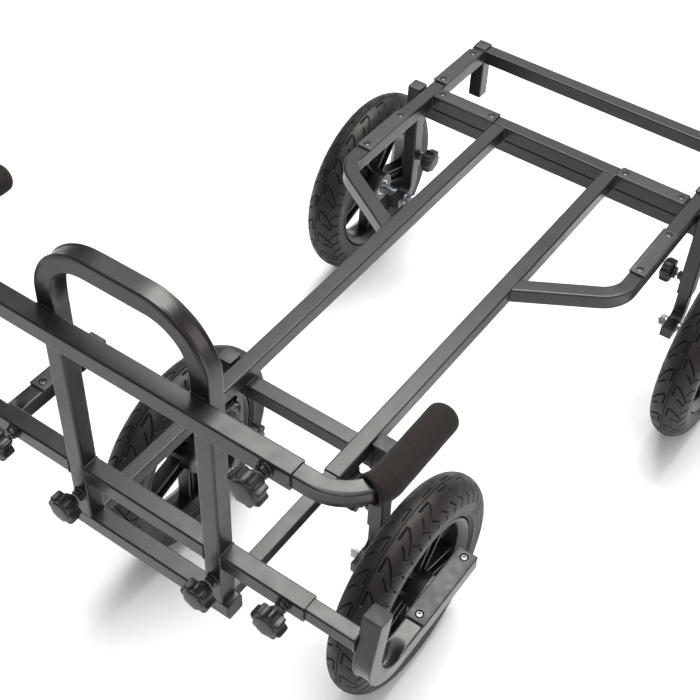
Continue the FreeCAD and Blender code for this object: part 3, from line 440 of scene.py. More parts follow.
def bent_tube(matrix, legs, side, corner, dent=0.0, sink=0.0, flare=0.0, soften=0.0, peak=0.5, spread=0.5,
              mitre=None):
    """A square tube bent in the local XZ plane, with the walls crushed as a bender leaves them.

    `dent` pushes the inside wall in around `peak`, `sink` hollows the outside wall between its
    edges, `flare` spreads the side walls and `soften` rounds the outside edges. `mitre` is the
    local X of the face that the tube ends against.
    """
    outline = rounded_rectangle(side, side, corner, 8, 4)
    half = side / 2
    rings = []
    for u, v, heading, share in stations(legs):
        inward = Vector((math.cos(heading), 0, -math.sin(heading)))
        centre = Vector((u, 0, v))
        inner_weight = bend_weight(share, peak, spread)
        outer_weight = bend_weight(share, 0.5, 0.62)
        ring = []
        for b, a in outline:
            hollow = max(0.0, 1 - (a / (half * 0.92)) ** 2)
            edge = smooth((min(abs(a), abs(b)) / half - 0.55) / 0.35)
            if b > half * 0.8:
                b -= dent * inner_weight ** 0.8 * hollow ** 1.1
            elif b < -half * 0.8:
                b += sink * outer_weight * smooth(1.5 * hollow)
            if b < 0:
                a *= 1 - soften * outer_weight * edge
                b *= 1 - soften * outer_weight * edge
            a *= 1 + flare * inner_weight * (b + half) / side
            ring.append(centre + inward * b + Vector((0, a, 0)))
        rings.append(ring)
    if mitre is not None:
        along = Vector((math.sin(heading), 0, math.cos(heading)))
        excess = [[min(mitre - point.x, 0) for point in ring] for ring in rings[:-1]]
        excess.append([mitre - point.x for point in rings[-1]])
        rings = [[point + along * shift / along.x for point, shift in zip(ring, shifts)]
                 for ring, shifts in zip(rings, excess)]
    return loft([[matrix @ point for point in ring] for ring in rings])


HOOP_BEND = 57 * MM
SIDE_RAIL_BEND = 45 * MM
FOAM_ARM_BEND = 45 * MM
SEAM = 0.05 * MM


def hoop():
    """Two mirrored halves that meet in the middle of the top, merged into one closed tube."""
    node = "hoop_tube"
    legs = [("line", extent(node).z - TUBE / 2 - HOOP_BEND), ("arc", HOOP_BEND, 90),
            ("line", (extent(node).x - TUBE) / 2 - HOOP_BEND)]
    parts = []
    for side in (1, -1):
        at = Vector((side * (low(node).x + TUBE / 2), middle(node).y, low(node).z))
        matrix = frame_matrix(at, UP, side * RIGHT)
        parts.append(bent_tube(matrix, legs, TUBE, TUBE_CORNER, dent=8.5 * MM, sink=3.4 * MM,
                               flare=0.07, soften=0.15, peak=0.12, spread=0.32))
    points, faces = join(parts)
    meeting = (len(parts[0][1]) - 1, len(faces) - 1)
    faces = [face for index, face in enumerate(faces) if index not in meeting]
    item = add_object("hoop", mesh_of("hoop", points, faces, SEAM))
    settle(item, PAINT, "hoop_frame", "black_tube", node)


def side_rails():
    """The bent rails beside the ladder, each mitred against its long rail."""
    node = "side_rails"
    turn = 59
    slope = math.radians(90 - turn)
    offset = high(node).x - TUBE / 2
    rail_face = RAIL_OFFSET + TUBE / 2
    vertex = low(node).y + (offset - rail_face) * math.tan(slope) + TUBE / 2 / math.cos(slope)
    set_back = SIDE_RAIL_BEND * math.tan(math.radians(turn / 2))
    first = high(node).y - vertex - set_back
    last = (offset - RAIL_OFFSET) / math.cos(slope) - set_back
    for word, side in SIDES:
        at = Vector((side * offset, high(node).y, FRAME_LEVEL))
        matrix = frame_matrix(at, -REAR, -side * RIGHT)
        part = bent_tube(matrix, [("line", first), ("arc", SIDE_RAIL_BEND, turn), ("line", last)],
                         TUBE, TUBE_CORNER, dent=4.0 * MM, sink=1.4 * MM, flare=0.04, soften=0.04,
                         mitre=offset - rail_face + 0.1 * MM)
        item = add_object(f"side_rail_{word}", mesh_of("side_rail", *part))
        settle(item, PAINT, "frame", "black_tube", node)


def foam_arms():
    """The bent tubes that slide in the crossbar, each with its grip."""
    bar = middle("handle_crossbar")
    for word, side in SIDES:
        node = f"foam_arm_tube_{word}"
        inner = low(node).x if side > 0 else -high(node).x
        reach = high(node).x if side > 0 else -low(node).x
        first = reach - SLIDER / 2 - FOAM_ARM_BEND - inner
        last = high(node).y - bar.y - FOAM_ARM_BEND
        matrix = frame_matrix(Vector((side * inner, bar.y, bar.z)), side * RIGHT, REAR)
        part = bent_tube(matrix, [("line", first), ("arc", FOAM_ARM_BEND, 90), ("line", last)],
                         SLIDER, SLIDER_CORNER, dent=3.0 * MM, sink=3.4 * MM, flare=0.06, soften=0.12)
        item = add_object(f"foam_arm_{word}", mesh_of("foam_arm", *part))
        settle(item, PAINT, f"foam_arm_{word}", "black_tube", node)
        foam_grip(word, matrix, first)


FOAM_TURN = 60
FOAM_SLANT = 12
FOAM_STEPS = 40
FOAM_HOLE = 12.9 * MM
FOAM_ROUND = 8 * MM


def foam_ring(matrix, u, v, heading, size, wave=0.0):
    """A slightly wavy ring of the grip's skin, square to `heading` in the arm's plane."""
    inward = Vector((math.cos(heading), 0, -math.sin(heading)))
    ring = []
    for step in range(FOAM_STEPS):
        angle = 2 * math.pi * step / FOAM_STEPS
        reach = size * (1 + wave * math.sin(3 * angle + 90 * v))
        ring.append(matrix @ (Vector((u, 0, v)) + inward * reach * math.cos(angle)
                              + Vector((0, reach * math.sin(angle), 0))))
    return ring


def foam_grip(word, matrix, first):
    """A soft sleeve over the bend and the straight leg, open in front and rounded off behind.

    Its front face leans FOAM_SLANT degrees towards the leg and straightens up along the bend.
    """
    node = f"foam_grip_{word}"
    outer = extent(node).z / 2
    radius = FOAM_ARM_BEND
    straight = high(node).y - middle("handle_crossbar").y - radius - FOAM_ROUND
    start = math.radians(FOAM_TURN)
    path = []
    for step in range(13):
        angle = start + (math.pi / 2 - start) * step / 12
        slant = math.radians(FOAM_SLANT) * (1 - step / 12) ** 1.5
        path.append((radius - radius * math.cos(angle), first + radius * math.sin(angle), angle + slant))
    for step in range(1, 21):
        path.append((radius + straight * step / 20, first + radius, math.pi / 2))
    u, v, heading = path[0]
    back = Vector((math.sin(heading), 0, math.cos(heading)))
    front = ((10 * MM, FOAM_HOLE * 0.98), (1.2 * MM, FOAM_HOLE), (0.0, FOAM_HOLE + 0.7 * MM),
             (-0.2 * MM, outer - 1.6 * MM), (0.6 * MM, outer - 0.5 * MM), (2.0 * MM, outer))
    rings = [foam_ring(matrix, u + back.x * depth, v + back.z * depth, heading, size)
             for depth, size in front]
    for index, (u, v, heading) in enumerate(path[1:]):
        swell = 1 + 0.006 * math.sin(index * 0.9)
        rings.append(foam_ring(matrix, u, v, heading, outer * swell, 0.004))
    for step in range(1, 9):
        angle = step / 8 * math.pi / 2
        size = outer - FOAM_ROUND + FOAM_ROUND * math.cos(angle)
        rings.append(foam_ring(matrix, u + FOAM_ROUND * math.sin(angle), v, heading, size))
    item = add_object(f"foam_grip_{word}", mesh_of("foam_grip", *loft(rings)), 60)
    settle(item, FOAM, f"foam_arm_{word}", "foam", node)


ARM_LEAN = 12
ARM_UPRIGHT = 121.7 * MM
ARM_LEG = 208 * MM
ARM_BEND = 52 * MM
ARM_PAD = 52.5 * MM


def side_arms():
    """Leaning uprights bent into rearward legs, each on a tube that slides in the lower cross tube."""
    lean = math.radians(ARM_LEAN)
    turn = 90 + ARM_LEAN
    set_back = ARM_BEND * math.tan(math.radians(turn / 2))
    down = Vector((0, -math.sin(lean), -math.cos(lean)))
    across = Vector((0, math.cos(lean), -math.sin(lean)))
    cross = middle("lower_cross_tube")
    for word, side in SIDES:
        node = f"side_arm_{word}"
        body = f"side_arm_{word}_body"
        offset = (high(node).x if side > 0 else -low(node).x) - TUBE / 2
        inner = low(node).x if side > 0 else -high(node).x
        vertex = Vector((side * offset, high(node).y - ARM_LEG, low(node).z + TUBE / 2))
        top = vertex - down * ARM_UPRIGHT
        matrix = frame_matrix(top, down, across)
        legs = [("line", ARM_UPRIGHT - set_back), ("arc", ARM_BEND, turn), ("line", ARM_LEG - set_back)]
        bar = bent_tube(matrix, legs, TUBE, TUBE_CORNER, dent=13 * MM, sink=3.0 * MM, flare=0.14,
                        soften=0.05, peak=0.72, spread=0.42)
        start = Vector((side * inner, cross.y, cross.z))
        slide = frame_matrix(start, side * RIGHT, REAR)
        slider = bent_tube(slide, [("line", offset - TUBE / 2 + 1 * MM - inner)], SLIDER, SLIDER_CORNER)
        item = add_object(f"side_arm_{word}", mesh_of("side_arm", *join([bar, slider])))
        settle(item, PAINT, body, "black_tube", node)
        seam = weld_ring(Vector((side * (offset - TUBE / 2), cross.y, cross.z)), RIGHT, REAR, SLIDER)
        bead = add_object(f"side_arm_weld_{word}", mesh_of("weld", *seam), 60)
        settle(bead, PAINT, body, "black_tube")
        side_arm_trim(word, vertex, top, down)


# ---------------------------- welds

BEAD = 1.5 * MM
BEAD_STEPS = 8
SIDE_RAIL_BEAD = 24 * MM
CROSSBAR_BEAD = 18 * MM


def weld_ring(at, along, across, side):
    """A rippled bead round a square tube where its end meets a wall."""
    matrix = frame_matrix(at, along, across)
    outline = rounded_rectangle(side - 0.4 * MM, side - 0.4 * MM, TUBE_CORNER, 7, 3)
    rings = []
    for index, (x, y) in enumerate(outline):
        out = Vector((x, y, 0)).normalized()
        size = BEAD * (0.85 + 0.15 * math.sin(index * 1.9) + 0.1 * random.random())
        ring = []
        for step in range(BEAD_STEPS):
            turn = 2 * math.pi * step / BEAD_STEPS
            bulge = out * size * math.cos(turn) + Vector((0, 0, size * math.sin(turn)))
            ring.append(matrix @ (Vector((x, y, 0)) + bulge))
        rings.append(ring)
    points = [point for ring in rings for point in ring]
    return points, grid_faces(len(rings), BEAD_STEPS, True, True)


def weld_line(start, end):
    """A short rippled bead in a straight corner."""
    start, end = Vector(start), Vector(end)
    length = (end - start).length
    steps = max(6, round(length / (1.1 * MM)))
    level = abs((end - start).z) < length / 2
    matrix = frame_matrix(start, end - start, UP.cross(end - start) if level else RIGHT)
    rings = []
    for step in range(steps + 1):
        share = step / steps
        size = BEAD * math.sin(math.pi * (0.1 + 0.8 * share)) ** 0.3 * (0.85 + 0.15 * math.sin(step * 2.1))
        rings.append([matrix @ point for point in circle(size, length * share, BEAD_STEPS)])
    return loft(rings)


def frame_welds():
    """The ladder's beads; the rear end tube's stay forward of its flush rear face."""
    axle, posts = "front_axle_tube", "corner_posts"
    parts = []
    for node in ("rear_cross_tube", "rear_axle_tube", axle, "rear_end_tube"):
        forward = BEAD if node == "rear_end_tube" else 0
        for _, side in SIDES:
            at = Vector((side * high(node).x, middle(node).y - forward, middle(node).z))
            parts.append(weld_ring(at, RIGHT, REAR, TUBE))
    for _, side in SIDES:
        rail_end = Vector((side * RAIL_OFFSET, high("long_rails").y, FRAME_LEVEL))
        parts.append(weld_ring(rail_end, REAR, RIGHT, TUBE))
        corner = Vector((side * (high(posts).x - TUBE / 2), low(posts).y, FRAME_LEVEL))
        parts.append(weld_ring(corner, REAR, RIGHT, TUBE))
        under = high(axle).z
        for shift in (-1, 1):
            x = side * RAIL_OFFSET + shift * TUBE / 2
            parts.append(weld_line((x, low(axle).y, under), (x, high(axle).y, under)))
        x = side * (RAIL_OFFSET + TUBE / 2)
        y, z = low("side_rails").y, FRAME_TOP - 1 * MM
        parts.append(weld_line((x, y + 1 * MM, z), (x, y + SIDE_RAIL_BEAD, z)))
    item = add_object("frame_welds", mesh_of("welds", *join(parts)), 60)
    settle(item, PAINT, "frame", "black_tube")


def hoop_welds():
    lower, bar = "lower_cross_tube", "handle_crossbar"
    parts = []
    face = low(bar).y + TUBE
    for _, side in SIDES:
        for shift in (-1, 1):
            x = side * RAIL_OFFSET + shift * TUBE / 2
            at = Vector((x, middle(lower).y, middle(lower).z))
            parts.append(weld_ring(at, RIGHT, REAR, TUBE))
            parts.append(weld_line((x, face, low(bar).z + 2 * MM), (x, face, high(bar).z - 2 * MM)))
        for level in (low(bar).z, high(bar).z):
            start = side * RAIL_OFFSET - CROSSBAR_BEAD / 2
            parts.append(weld_line((start, face, level), (start + CROSSBAR_BEAD, face, level)))
    item = add_object("hoop_welds", mesh_of("welds", *join(parts)), 60)
    settle(item, PAINT, "hoop_frame", "black_tube")


def slide_welds():
    parts = []
    for _, side in SIDES:
        at = Vector((side * RAIL_OFFSET, high("base_tube").y, FRAME_LEVEL))
        parts.append(weld_ring(at, REAR, RIGHT, SLIDER))
    item = add_object("slide_welds", mesh_of("welds", *join(parts)), 60)
    settle(item, PAINT, "front_slide", "black_tube")


# ---------------------------- caps, pads and screws

CAP_HEAD = 3 * MM
PAD_LENGTH = 108 * MM
PAD_PITCH = 88.5 * MM
PAD_WIDTH = 24.6 * MM
RECESS = 2.4 * MM
CAP_PLUG = 17 * MM
SCREW_RADIUS = 4.15 * MM
SOCKET_SHOULDER = 2.6 * MM


def cap_part():
    """End cap: a head with softened edges and a slightly crowned top, and its plug."""
    rings = []
    for height, inset in ((0, 1.0), (0.45, 0.9), (0.6, 0.1), (0.8, 0.0), (2.3, 0.0), (2.8, 0.3), (3.0, 0.9)):
        size = TUBE - 2 * inset * MM
        outline = rounded_rectangle(size, size, max(TUBE_CORNER - inset * MM * 0.4, 0.8 * MM), 2, 4)
        rings.append([Vector((x, y, height * MM)) for x, y in outline])
    plug = [[Vector((x, y, height * MM)) for x, y in rounded_rectangle(CAP_PLUG, CAP_PLUG, 1 * MM, 2, 3)]
            for height in (-11, -10, 0.2)]
    return join([loft(rings), loft(plug)])


def caps(name, places, body, node):
    """`places` holds (position, direction, across) of each cap."""
    parts = [moved(cap_part(), frame_matrix(*place)) for place in places]
    item = add_object(name, mesh_of(name, *join(parts)), 30)
    settle(item, CAP_PLASTIC, body, "black_plastic", node)


def pad_mesh(name):
    """Platform pad with bevelled edges and two screw recesses, its underside at z = 0."""
    depth = extent("platform_pads").z
    rings = []
    for height, inset in ((0, 0), (depth - 1.1 * MM, 0), (depth - 0.25 * MM, 0.75 * MM), (depth, 1.5 * MM)):
        outline = rounded_rectangle(PAD_WIDTH - 2 * inset, PAD_LENGTH - 2 * inset, 1.6 * MM, 1, 4)
        rings.append([Vector((x, y, height)) for x, y in outline])
    plate = add_object(name, mesh_of(name, *loft(rings)))
    tools = []
    for end in (-1, 1):
        at = Vector((0, end * PAD_PITCH / 2, 0))
        seat = [(0, depth - RECESS), (4.7 * MM, depth - RECESS), (4.7 * MM, depth - 0.5 * MM),
                (5.3 * MM, depth + 0.1 * MM), (5.3 * MM, depth + 2 * MM), (0, depth + 2 * MM)]
        tools.append(moved(spindle(seat, 40), Matrix.Translation(at)))
    cutter = add_object("cutter", mesh_of("cutter", *join(tools)))
    modifier = plate.modifiers.new("recess", "BOOLEAN")
    modifier.object = cutter
    modifier.solver = "EXACT"
    bpy.context.view_layer.update()
    mesh = bpy.data.meshes.new_from_object(plate.evaluated_get(bpy.context.evaluated_depsgraph_get()))
    bpy.data.objects.remove(plate)
    bpy.data.objects.remove(cutter)
    mesh.materials.clear()
    return mesh


PAD = pad_mesh("pad")


def put_pad(name, at, across, body, node):
    mesh = PAD.copy()
    mesh.transform(frame_matrix(at, UP, across))
    item = add_object(name, mesh, 30)
    settle(item, PAD_PLASTIC, body, "black_plastic", node)


def screw_part():
    """Button head with a hexagonal socket; the underside of the head is at z = 0."""
    rise, edge, steps = 2.1 * MM, 0.25 * MM, 36
    rings = [circle(SCREW_RADIUS * 0.96, 0.0, steps), circle(SCREW_RADIUS, edge, steps)]
    for step in range(1, 6):
        angle = math.radians(18 * step)
        radius = SOCKET_SHOULDER + (SCREW_RADIUS - SOCKET_SHOULDER) * math.cos(angle * 0.9)
        rings.append(circle(radius, edge + (rise - edge) * math.sin(angle), steps))
    for flat, height in ((2.15 * MM, rise - 0.05 * MM), (2.0 * MM, rise - 0.3 * MM), (1.95 * MM, 0.3 * MM)):
        rings.append(hexagon(flat, height, steps))
    return loft(rings)


def put_screws(name, places, body, node):
    """Two screws in each pad of `places`, which holds (position, across) as put_pad takes them."""
    seat = extent("platform_pads").z - RECESS
    parts = []
    for at, across in places:
        for end in (-1, 1):
            spot = at + UP.cross(across) * end * PAD_PITCH / 2 + UP * seat
            parts.append(moved(screw_part(), Matrix.Translation(spot)))
    item = add_object(name, mesh_of("screws", *join(parts)), 30)
    settle(item, SCREW, body, "black_screw", node)


def platform():
    """Four pads along the side rails and two on the rear cross tube, with their screws."""
    node, tube = "platform_pads", "rear_cross_tube"
    side_x = high(node).x - PAD_WIDTH / 2
    cross_x = high(tube).x - 0.6 * MM - PAD_LENGTH / 2
    places = []
    for word, side in SIDES:
        rows = (("front", side_x, low(node).y + PAD_LENGTH / 2, RIGHT),
                ("rear", side_x, high(node).y - PAD_LENGTH / 2, RIGHT),
                ("cross", cross_x, middle(tube).y, REAR))
        for row, x, y, across in rows:
            at = Vector((side * x, y, FRAME_TOP))
            put_pad(f"pad_{row}_{word}", at, across, "frame", node)
            places.append((at, across))
    put_screws("platform_screws", places, "frame", "pad_screws")


def side_arm_trim(word, vertex, top, down):
    """Caps, pad and screws of a side arm."""
    node = f"side_arm_trim_{word}"
    body = f"side_arm_{word}_body"
    leg_end = vertex + REAR * ARM_LEG
    caps(f"side_arm_caps_{word}", [(leg_end, REAR, RIGHT), (top, -down, RIGHT)], body, node)
    pad_at = leg_end - REAR * ARM_PAD + UP * TUBE / 2
    put_pad(f"side_arm_pad_{word}", pad_at, RIGHT, body, node)
    put_screws(f"side_arm_screws_{word}", [(pad_at, RIGHT)], body, node)


def all_caps():
    """The frame's caps: on the sleeves and on both ends of the corner posts."""
    places = []
    for node in ("front_sleeves", "rear_sleeves"):
        for _, side in SIDES:
            at = Vector((side * (high(node).x - TUBE / 2), middle(node).y, high(node).z))
            places.append((at, UP, RIGHT))
    posts = "corner_posts"
    for _, side in SIDES:
        x = side * (high(posts).x - TUBE / 2)
        places.append((Vector((x, middle(posts).y, high(posts).z)), UP, RIGHT))
        places.append((Vector((x, middle(posts).y, low(posts).z)), -UP, RIGHT))
    caps("frame_caps", places, "frame", "tube_caps")
    base = []
    for _, side in SIDES:
        x = side * (high("base_caps").x - CAP_HEAD)
        base.append((Vector((x, middle("base_tube").y, FRAME_LEVEL)), side * RIGHT, REAR))
    caps("base_tube_caps", base, "front_slide", "base_caps")


# ---------------------------- knobs

KNOB_RADIUS = 19 * MM
KNOB_STAND = 3.5 * MM
KNOB_DEPTH = 23.1 * MM
LOBES = 8
BOSS_HEIGHT = 7 * MM
BOSS_ACROSS = 13 * MM
NUT_STEPS = 72
HOLLOW_RING = 22.3 * MM
HOLLOW_RADIUS = 7.0 * MM


def star(size, relief):
    """Lobed outline; `relief` 1 gives the full hollows between the lobes and 0 a circle."""
    points = []
    count = LOBES * 14
    for step in range(count):
        angle = 2 * math.pi * step / count
        from_hollow = (angle + math.pi / LOBES) % (2 * math.pi / LOBES) - math.pi / LOBES
        inside = HOLLOW_RADIUS ** 2 - (HOLLOW_RING * math.sin(from_hollow)) ** 2
        reach = KNOB_RADIUS
        if inside > 0:
            reach = min(reach, HOLLOW_RING * math.cos(from_hollow) - math.sqrt(inside))
        reach = size * (1 - relief * (1 - reach / KNOB_RADIUS))
        points.append((reach * math.cos(angle), reach * math.sin(angle)))
    return points


def knob_head():
    """Star head with rounded lobes, a shallow ring groove and a low domed disc on its face."""
    back = KNOB_STAND
    front = KNOB_STAND + KNOB_DEPTH
    levels = ((7.0, 0.0, back), (8.6, 0.0, back + 0.2 * MM), (9.0, 0.0, back + 1.0 * MM),
              (9.4, 0.05, back + 4.2 * MM), (11.5, 0.3, back + 5.2 * MM), (16.0, 0.8, back + 5.6 * MM),
              (18.2, 1.0, back + 6.4 * MM), (18.9, 1.0, back + 7.8 * MM), (19.0, 1.0, front - 6.2 * MM),
              (18.8, 1.0, front - 4.6 * MM), (18.1, 0.95, front - 3.2 * MM), (16.8, 0.8, front - 2.3 * MM),
              (14.6, 0.4, front - 2.0 * MM), (13.2, 0.0, front - 2.1 * MM), (12.7, 0.0, front - 1.7 * MM),
              (12.3, 0.0, front - 0.7 * MM), (11.0, 0.0, front - 0.35 * MM), (7.0, 0.0, front - 0.1 * MM),
              (3.0, 0.0, front))
    rings = [[Vector((x, y, height)) for x, y in star(size * MM, relief)] for size, relief, height in levels]
    return loft(rings)


def stud_part():
    """Threaded stud from inside the tube wall to the knob's back."""
    bottom = -BOSS_HEIGHT - 1.9 * MM
    top = KNOB_STAND + 1 * MM
    pitch, root, crest = 1.0 * MM, 2.55 * MM, 2.98 * MM
    profile = [(0, bottom), (2.2 * MM, bottom), (root, bottom + 0.4 * MM)]
    height = bottom + 0.5 * MM
    while height + pitch < top:
        profile.extend([(root, height + 0.15 * MM), (crest, height + 0.5 * MM), (root, height + 0.85 * MM)])
        height += pitch
    profile.extend([(2.6 * MM, top), (0, top)])
    return spindle(profile, 28)


def nut_part():
    """Hexagon nut with chamfered corners, its outer face at z = 0."""
    half = BOSS_ACROSS / 2
    levels = ((0.5, -BOSS_HEIGHT), (0.0, 1.0 * MM - BOSS_HEIGHT), (0.0, -1.2 * MM), (0.7, -0.3 * MM),
              (1.3, 0.0))
    rings = [hexagon(half, height, NUT_STEPS, half * 1.13 - inset * MM) for inset, height in levels]
    for radius, height in ((3.9 * MM, 0.0), (3.2 * MM, -0.7 * MM), (3.2 * MM, -BOSS_HEIGHT)):
        rings.append(circle(radius, height, NUT_STEPS))
    return [point for ring in rings for point in ring], grid_faces(len(rings), NUT_STEPS, True, True)


def boss_weld():
    """Rippled fillet of weld round the foot of a nut."""
    points = []
    for step in range(NUT_STEPS):
        angle = 2 * math.pi * step / NUT_STEPS
        size = 2.2 * MM * (1 + 0.14 * math.sin(9 * angle) + 0.06 * math.sin(23 * angle))
        for turn in range(BEAD_STEPS):
            tilt = 2 * math.pi * turn / BEAD_STEPS
            reach = BOSS_ACROSS / 2 + 0.3 * MM + size * math.cos(tilt)
            height = -BOSS_HEIGHT + size * math.sin(tilt)
            points.append((reach * math.cos(angle), reach * math.sin(angle), height))
    return points, grid_faces(NUT_STEPS, BEAD_STEPS, True, True)


def knob_matrix(joint):
    """Origin on the nut's outer face, local Z out of the tube."""
    axis = Vector(joint["axis"])
    return frame_matrix(Vector(joint["pos_m"]), axis, REAR if abs(axis.y) < 0.5 else RIGHT)


def bosses():
    """The painted nuts and their welds, one at each knob."""
    for body in ("frame", "hoop_frame"):
        node = "hoop_bosses" if body == "hoop_frame" else "frame_bosses"
        places = [knob_matrix(joint) for joint in KNOB_JOINTS if joint["parent"] == body]
        for kind, part, sharp in (("nuts", nut_part(), 30), ("welds", boss_weld(), 60)):
            mesh = mesh_of(kind, *join([moved(part, at) for at in places]))
            settle(add_object(f"{node}_{kind}", mesh, sharp), PAINT, body, "black_tube", node)


def knobs():
    """The star heads and studs, each turned a little further than the one before."""
    head = mesh_of("knob_head", *knob_head())
    stud = mesh_of("knob_stud", *stud_part())
    head.materials.append(KNOB_PLASTIC)
    stud.materials.append(ZINC)
    for number, joint in enumerate(KNOB_JOINTS):
        node = joint["child"].removesuffix("_body")
        spin = Matrix.Rotation(math.radians(11 * number), 4, "Z")
        for kind, mesh, slot in (("head", head, "knob_plastic"), ("stud", stud, "zinc")):
            item = add_object(f"{node}_{kind}", mesh, 32)
            item.matrix_world = knob_matrix(joint) @ spin
            settle(item, None, joint["child"], slot, node)


# ---------------------------- wheels

TYRE_PITCHES = 22
PITCH_STEPS = 48
PROFILE_STEPS = 118
TREAD_DEPTH = 2.4 * MM
TREAD_RADIUS_MM = 155
SECTION = 29 * MM
CASING = 4.5 * MM
BEAD_ANGLE = 128


def tread_depth(u, across):
    """Depth of the tread pattern, 0 to 1. `u` is the place along a pitch, 0 to 1.

    `across` is the arc length from the crown. It and all widths here are in millimetres, and one
    side's pattern is half a pitch behind the other's.
    """
    off = np.abs(across)
    u = (u + 0.5 * (across < 0)) % 1.0
    pitch = 2 * math.pi * TREAD_RADIUS_MM / TYRE_PITCHES

    def slot(distance, width):
        return np.clip(1.5 - 2 * np.abs(distance) / width, 0, 1)

    def span(value, start, end, fade):
        return np.clip((value - start) / fade, 0, 1) * np.clip((end - value) / fade, 0, 1)

    def cut(path, width, start, end):
        """A groove that crosses the tread along u = path, between two distances from the crown."""
        return slot(((u - path + 0.5) % 1.0 - 0.5) * pitch, width) * span(off, start, end, 1.5)

    crown = 0.6 * slot(off, 1.9)
    dash = slot(off - 5, 1.9) * span(u, 0.08, 0.56, 0.03)
    long_comma = cut(0.10 + 0.012 * (off - 6) + 0.0009 * (off - 6) ** 2, 2.4, 6, 28)
    short_comma = cut(0.62 + 0.012 * (off - 12) + 0.0009 * (off - 12) ** 2, 2.1, 12, 26)
    slashes = [cut(start - 0.03 * (off - 24), 1.7, 23, 33) for start in (0.45, 0.95)]
    lugs = [cut(place, 2.0, 33, 42) for place in (0.30, 0.80)]
    return np.maximum.reduce([crown, dash, long_comma, short_comma, *slashes, *lugs])


def tyre_mesh():
    """Tyre skin with its tread cut in, a stepped sidewall and thick bead edges."""
    radius = extent("tyre_front_left").z / 2
    ring_radius = radius - SECTION
    even = np.linspace(-1, 1, PROFILE_STEPS)
    angles = np.radians(BEAD_ANGLE) * (0.86 * even + 0.14 * even ** 3)
    columns = TYRE_PITCHES * PITCH_STEPS
    turn = np.arange(columns) / columns * 2 * math.pi
    pitch_place = (np.arange(columns) % PITCH_STEPS) / PITCH_STEPS
    across = angles * SECTION / MM
    u, a = np.meshgrid(pitch_place, across, indexing="ij")
    depth = tread_depth(u, a) * TREAD_DEPTH
    degrees = np.abs(np.degrees(angles))
    panel = 0.9 * MM * (np.clip((degrees - 84) / 2.0, 0, 1) - np.clip((degrees - 108) / 2.0, 0, 1))
    bead = 1.3 * MM * np.exp(-((degrees - 116) / 3.0) ** 2)
    reach = (SECTION - panel + bead)[None, :] - depth
    r = ring_radius + reach * np.cos(angles)[None, :]
    x = reach * np.sin(angles)[None, :]
    inner_r = ring_radius + (SECTION - CASING) * np.cos(angles[[0, -1]])
    inner_x = (SECTION - CASING) * np.sin(angles[[0, -1]])
    r = np.pad(r, ((0, 0), (1, 1)), constant_values=((0, 0), tuple(inner_r)))
    x = np.pad(x, ((0, 0), (1, 1)), constant_values=((0, 0), tuple(inner_x)))
    rows = r.shape[1]
    points = np.stack([x, r * np.cos(turn)[:, None], r * np.sin(turn)[:, None]], axis=-1).reshape(-1, 3)
    faces = grid_faces(columns, rows, True, True)
    return mesh_of("tyre", points.tolist(), faces)


def wedge(inner, outer, half_inner, half_outer, low_x, high_x):
    """A spoke-like block from radius `inner` to `outer` along +Y, tapered in Z."""
    points = []
    for x in (low_x, high_x):
        points.extend([(x, inner, -half_inner), (x, outer, -half_outer), (x, outer, half_outer),
                       (x, inner, half_inner)])
    faces = [(0, 1, 2, 3), (7, 6, 5, 4), (0, 4, 5, 1), (1, 5, 6, 2), (2, 6, 7, 3), (3, 7, 4, 0)]
    return points, faces


SPOKES = 5
SPOKE_START = 53
SPOKE_INNER = 20 * MM
SPOKE_OUTER = 96 * MM
RIB_REACH = 10 * MM
RIB_SHIFT = 10.1 * MM
RIB_SPREAD = 0.02
BEARING = 8 * MM


def spoke_parts():
    """One spoke: a web between two deep edge ribs, with a middle rib."""
    parts = [wedge(SPOKE_INNER, SPOKE_OUTER, 11.5 * MM, 13 * MM, -3 * MM, 3 * MM)]
    for side in (-1, 1):
        points, faces = wedge(SPOKE_INNER, SPOKE_OUTER, 1.7 * MM, 1.7 * MM, -RIB_REACH, RIB_REACH)
        shifted = [(x, y, z + side * (RIB_SHIFT + (y - SPOKE_INNER) * RIB_SPREAD)) for x, y, z in points]
        parts.append((shifted, faces))
    parts.append(wedge(SPOKE_INNER, SPOKE_OUTER, 1.2 * MM, 1.2 * MM, -6 * MM, 6 * MM))
    return parts


def to_x_axis(part):
    """Turns a part made about Z so that it stands about X."""
    return moved(part, Matrix.Rotation(math.pi / 2, 4, "Y"))


def rim_mesh():
    """Band with a cone on each side, five spokes and a hub with a seat for each bearing."""
    hub_half = extent("rim_front_left").x / 2
    flange = extent("rim_front_left").z / 2
    width = 24 * MM
    half_band = [(94.5 * MM, 14 * MM), (102.6 * MM, width - 0.3 * MM), (103.3 * MM, width),
                 (flange - 1.2 * MM, width), (flange, width - 1.2 * MM), (flange - 0.2 * MM, width - 3 * MM),
                 (99 * MM, 15 * MM)]
    band = half_band + [(r, -x) for r, x in reversed(half_band)]
    parts = [to_x_axis(lathe(band, 144))]
    hub = [(13 * MM, -hub_half), (23 * MM, -hub_half), (25 * MM, -hub_half + 2 * MM), (26 * MM, -12 * MM),
           (26 * MM, 12 * MM), (25 * MM, hub_half - 2 * MM), (23 * MM, hub_half), (13 * MM, hub_half),
           (13 * MM, hub_half - BEARING), (7 * MM, hub_half - BEARING), (7 * MM, BEARING - hub_half),
           (13 * MM, BEARING - hub_half)]
    parts.append(to_x_axis(lathe(hub, 96)))
    for number in range(SPOKES):
        turn = Matrix.Rotation(math.radians(SPOKE_START + 360 / SPOKES * number), 4, "X")
        parts.extend(moved(part, turn) for part in spoke_parts())
    return mesh_of("rim", *join(parts))


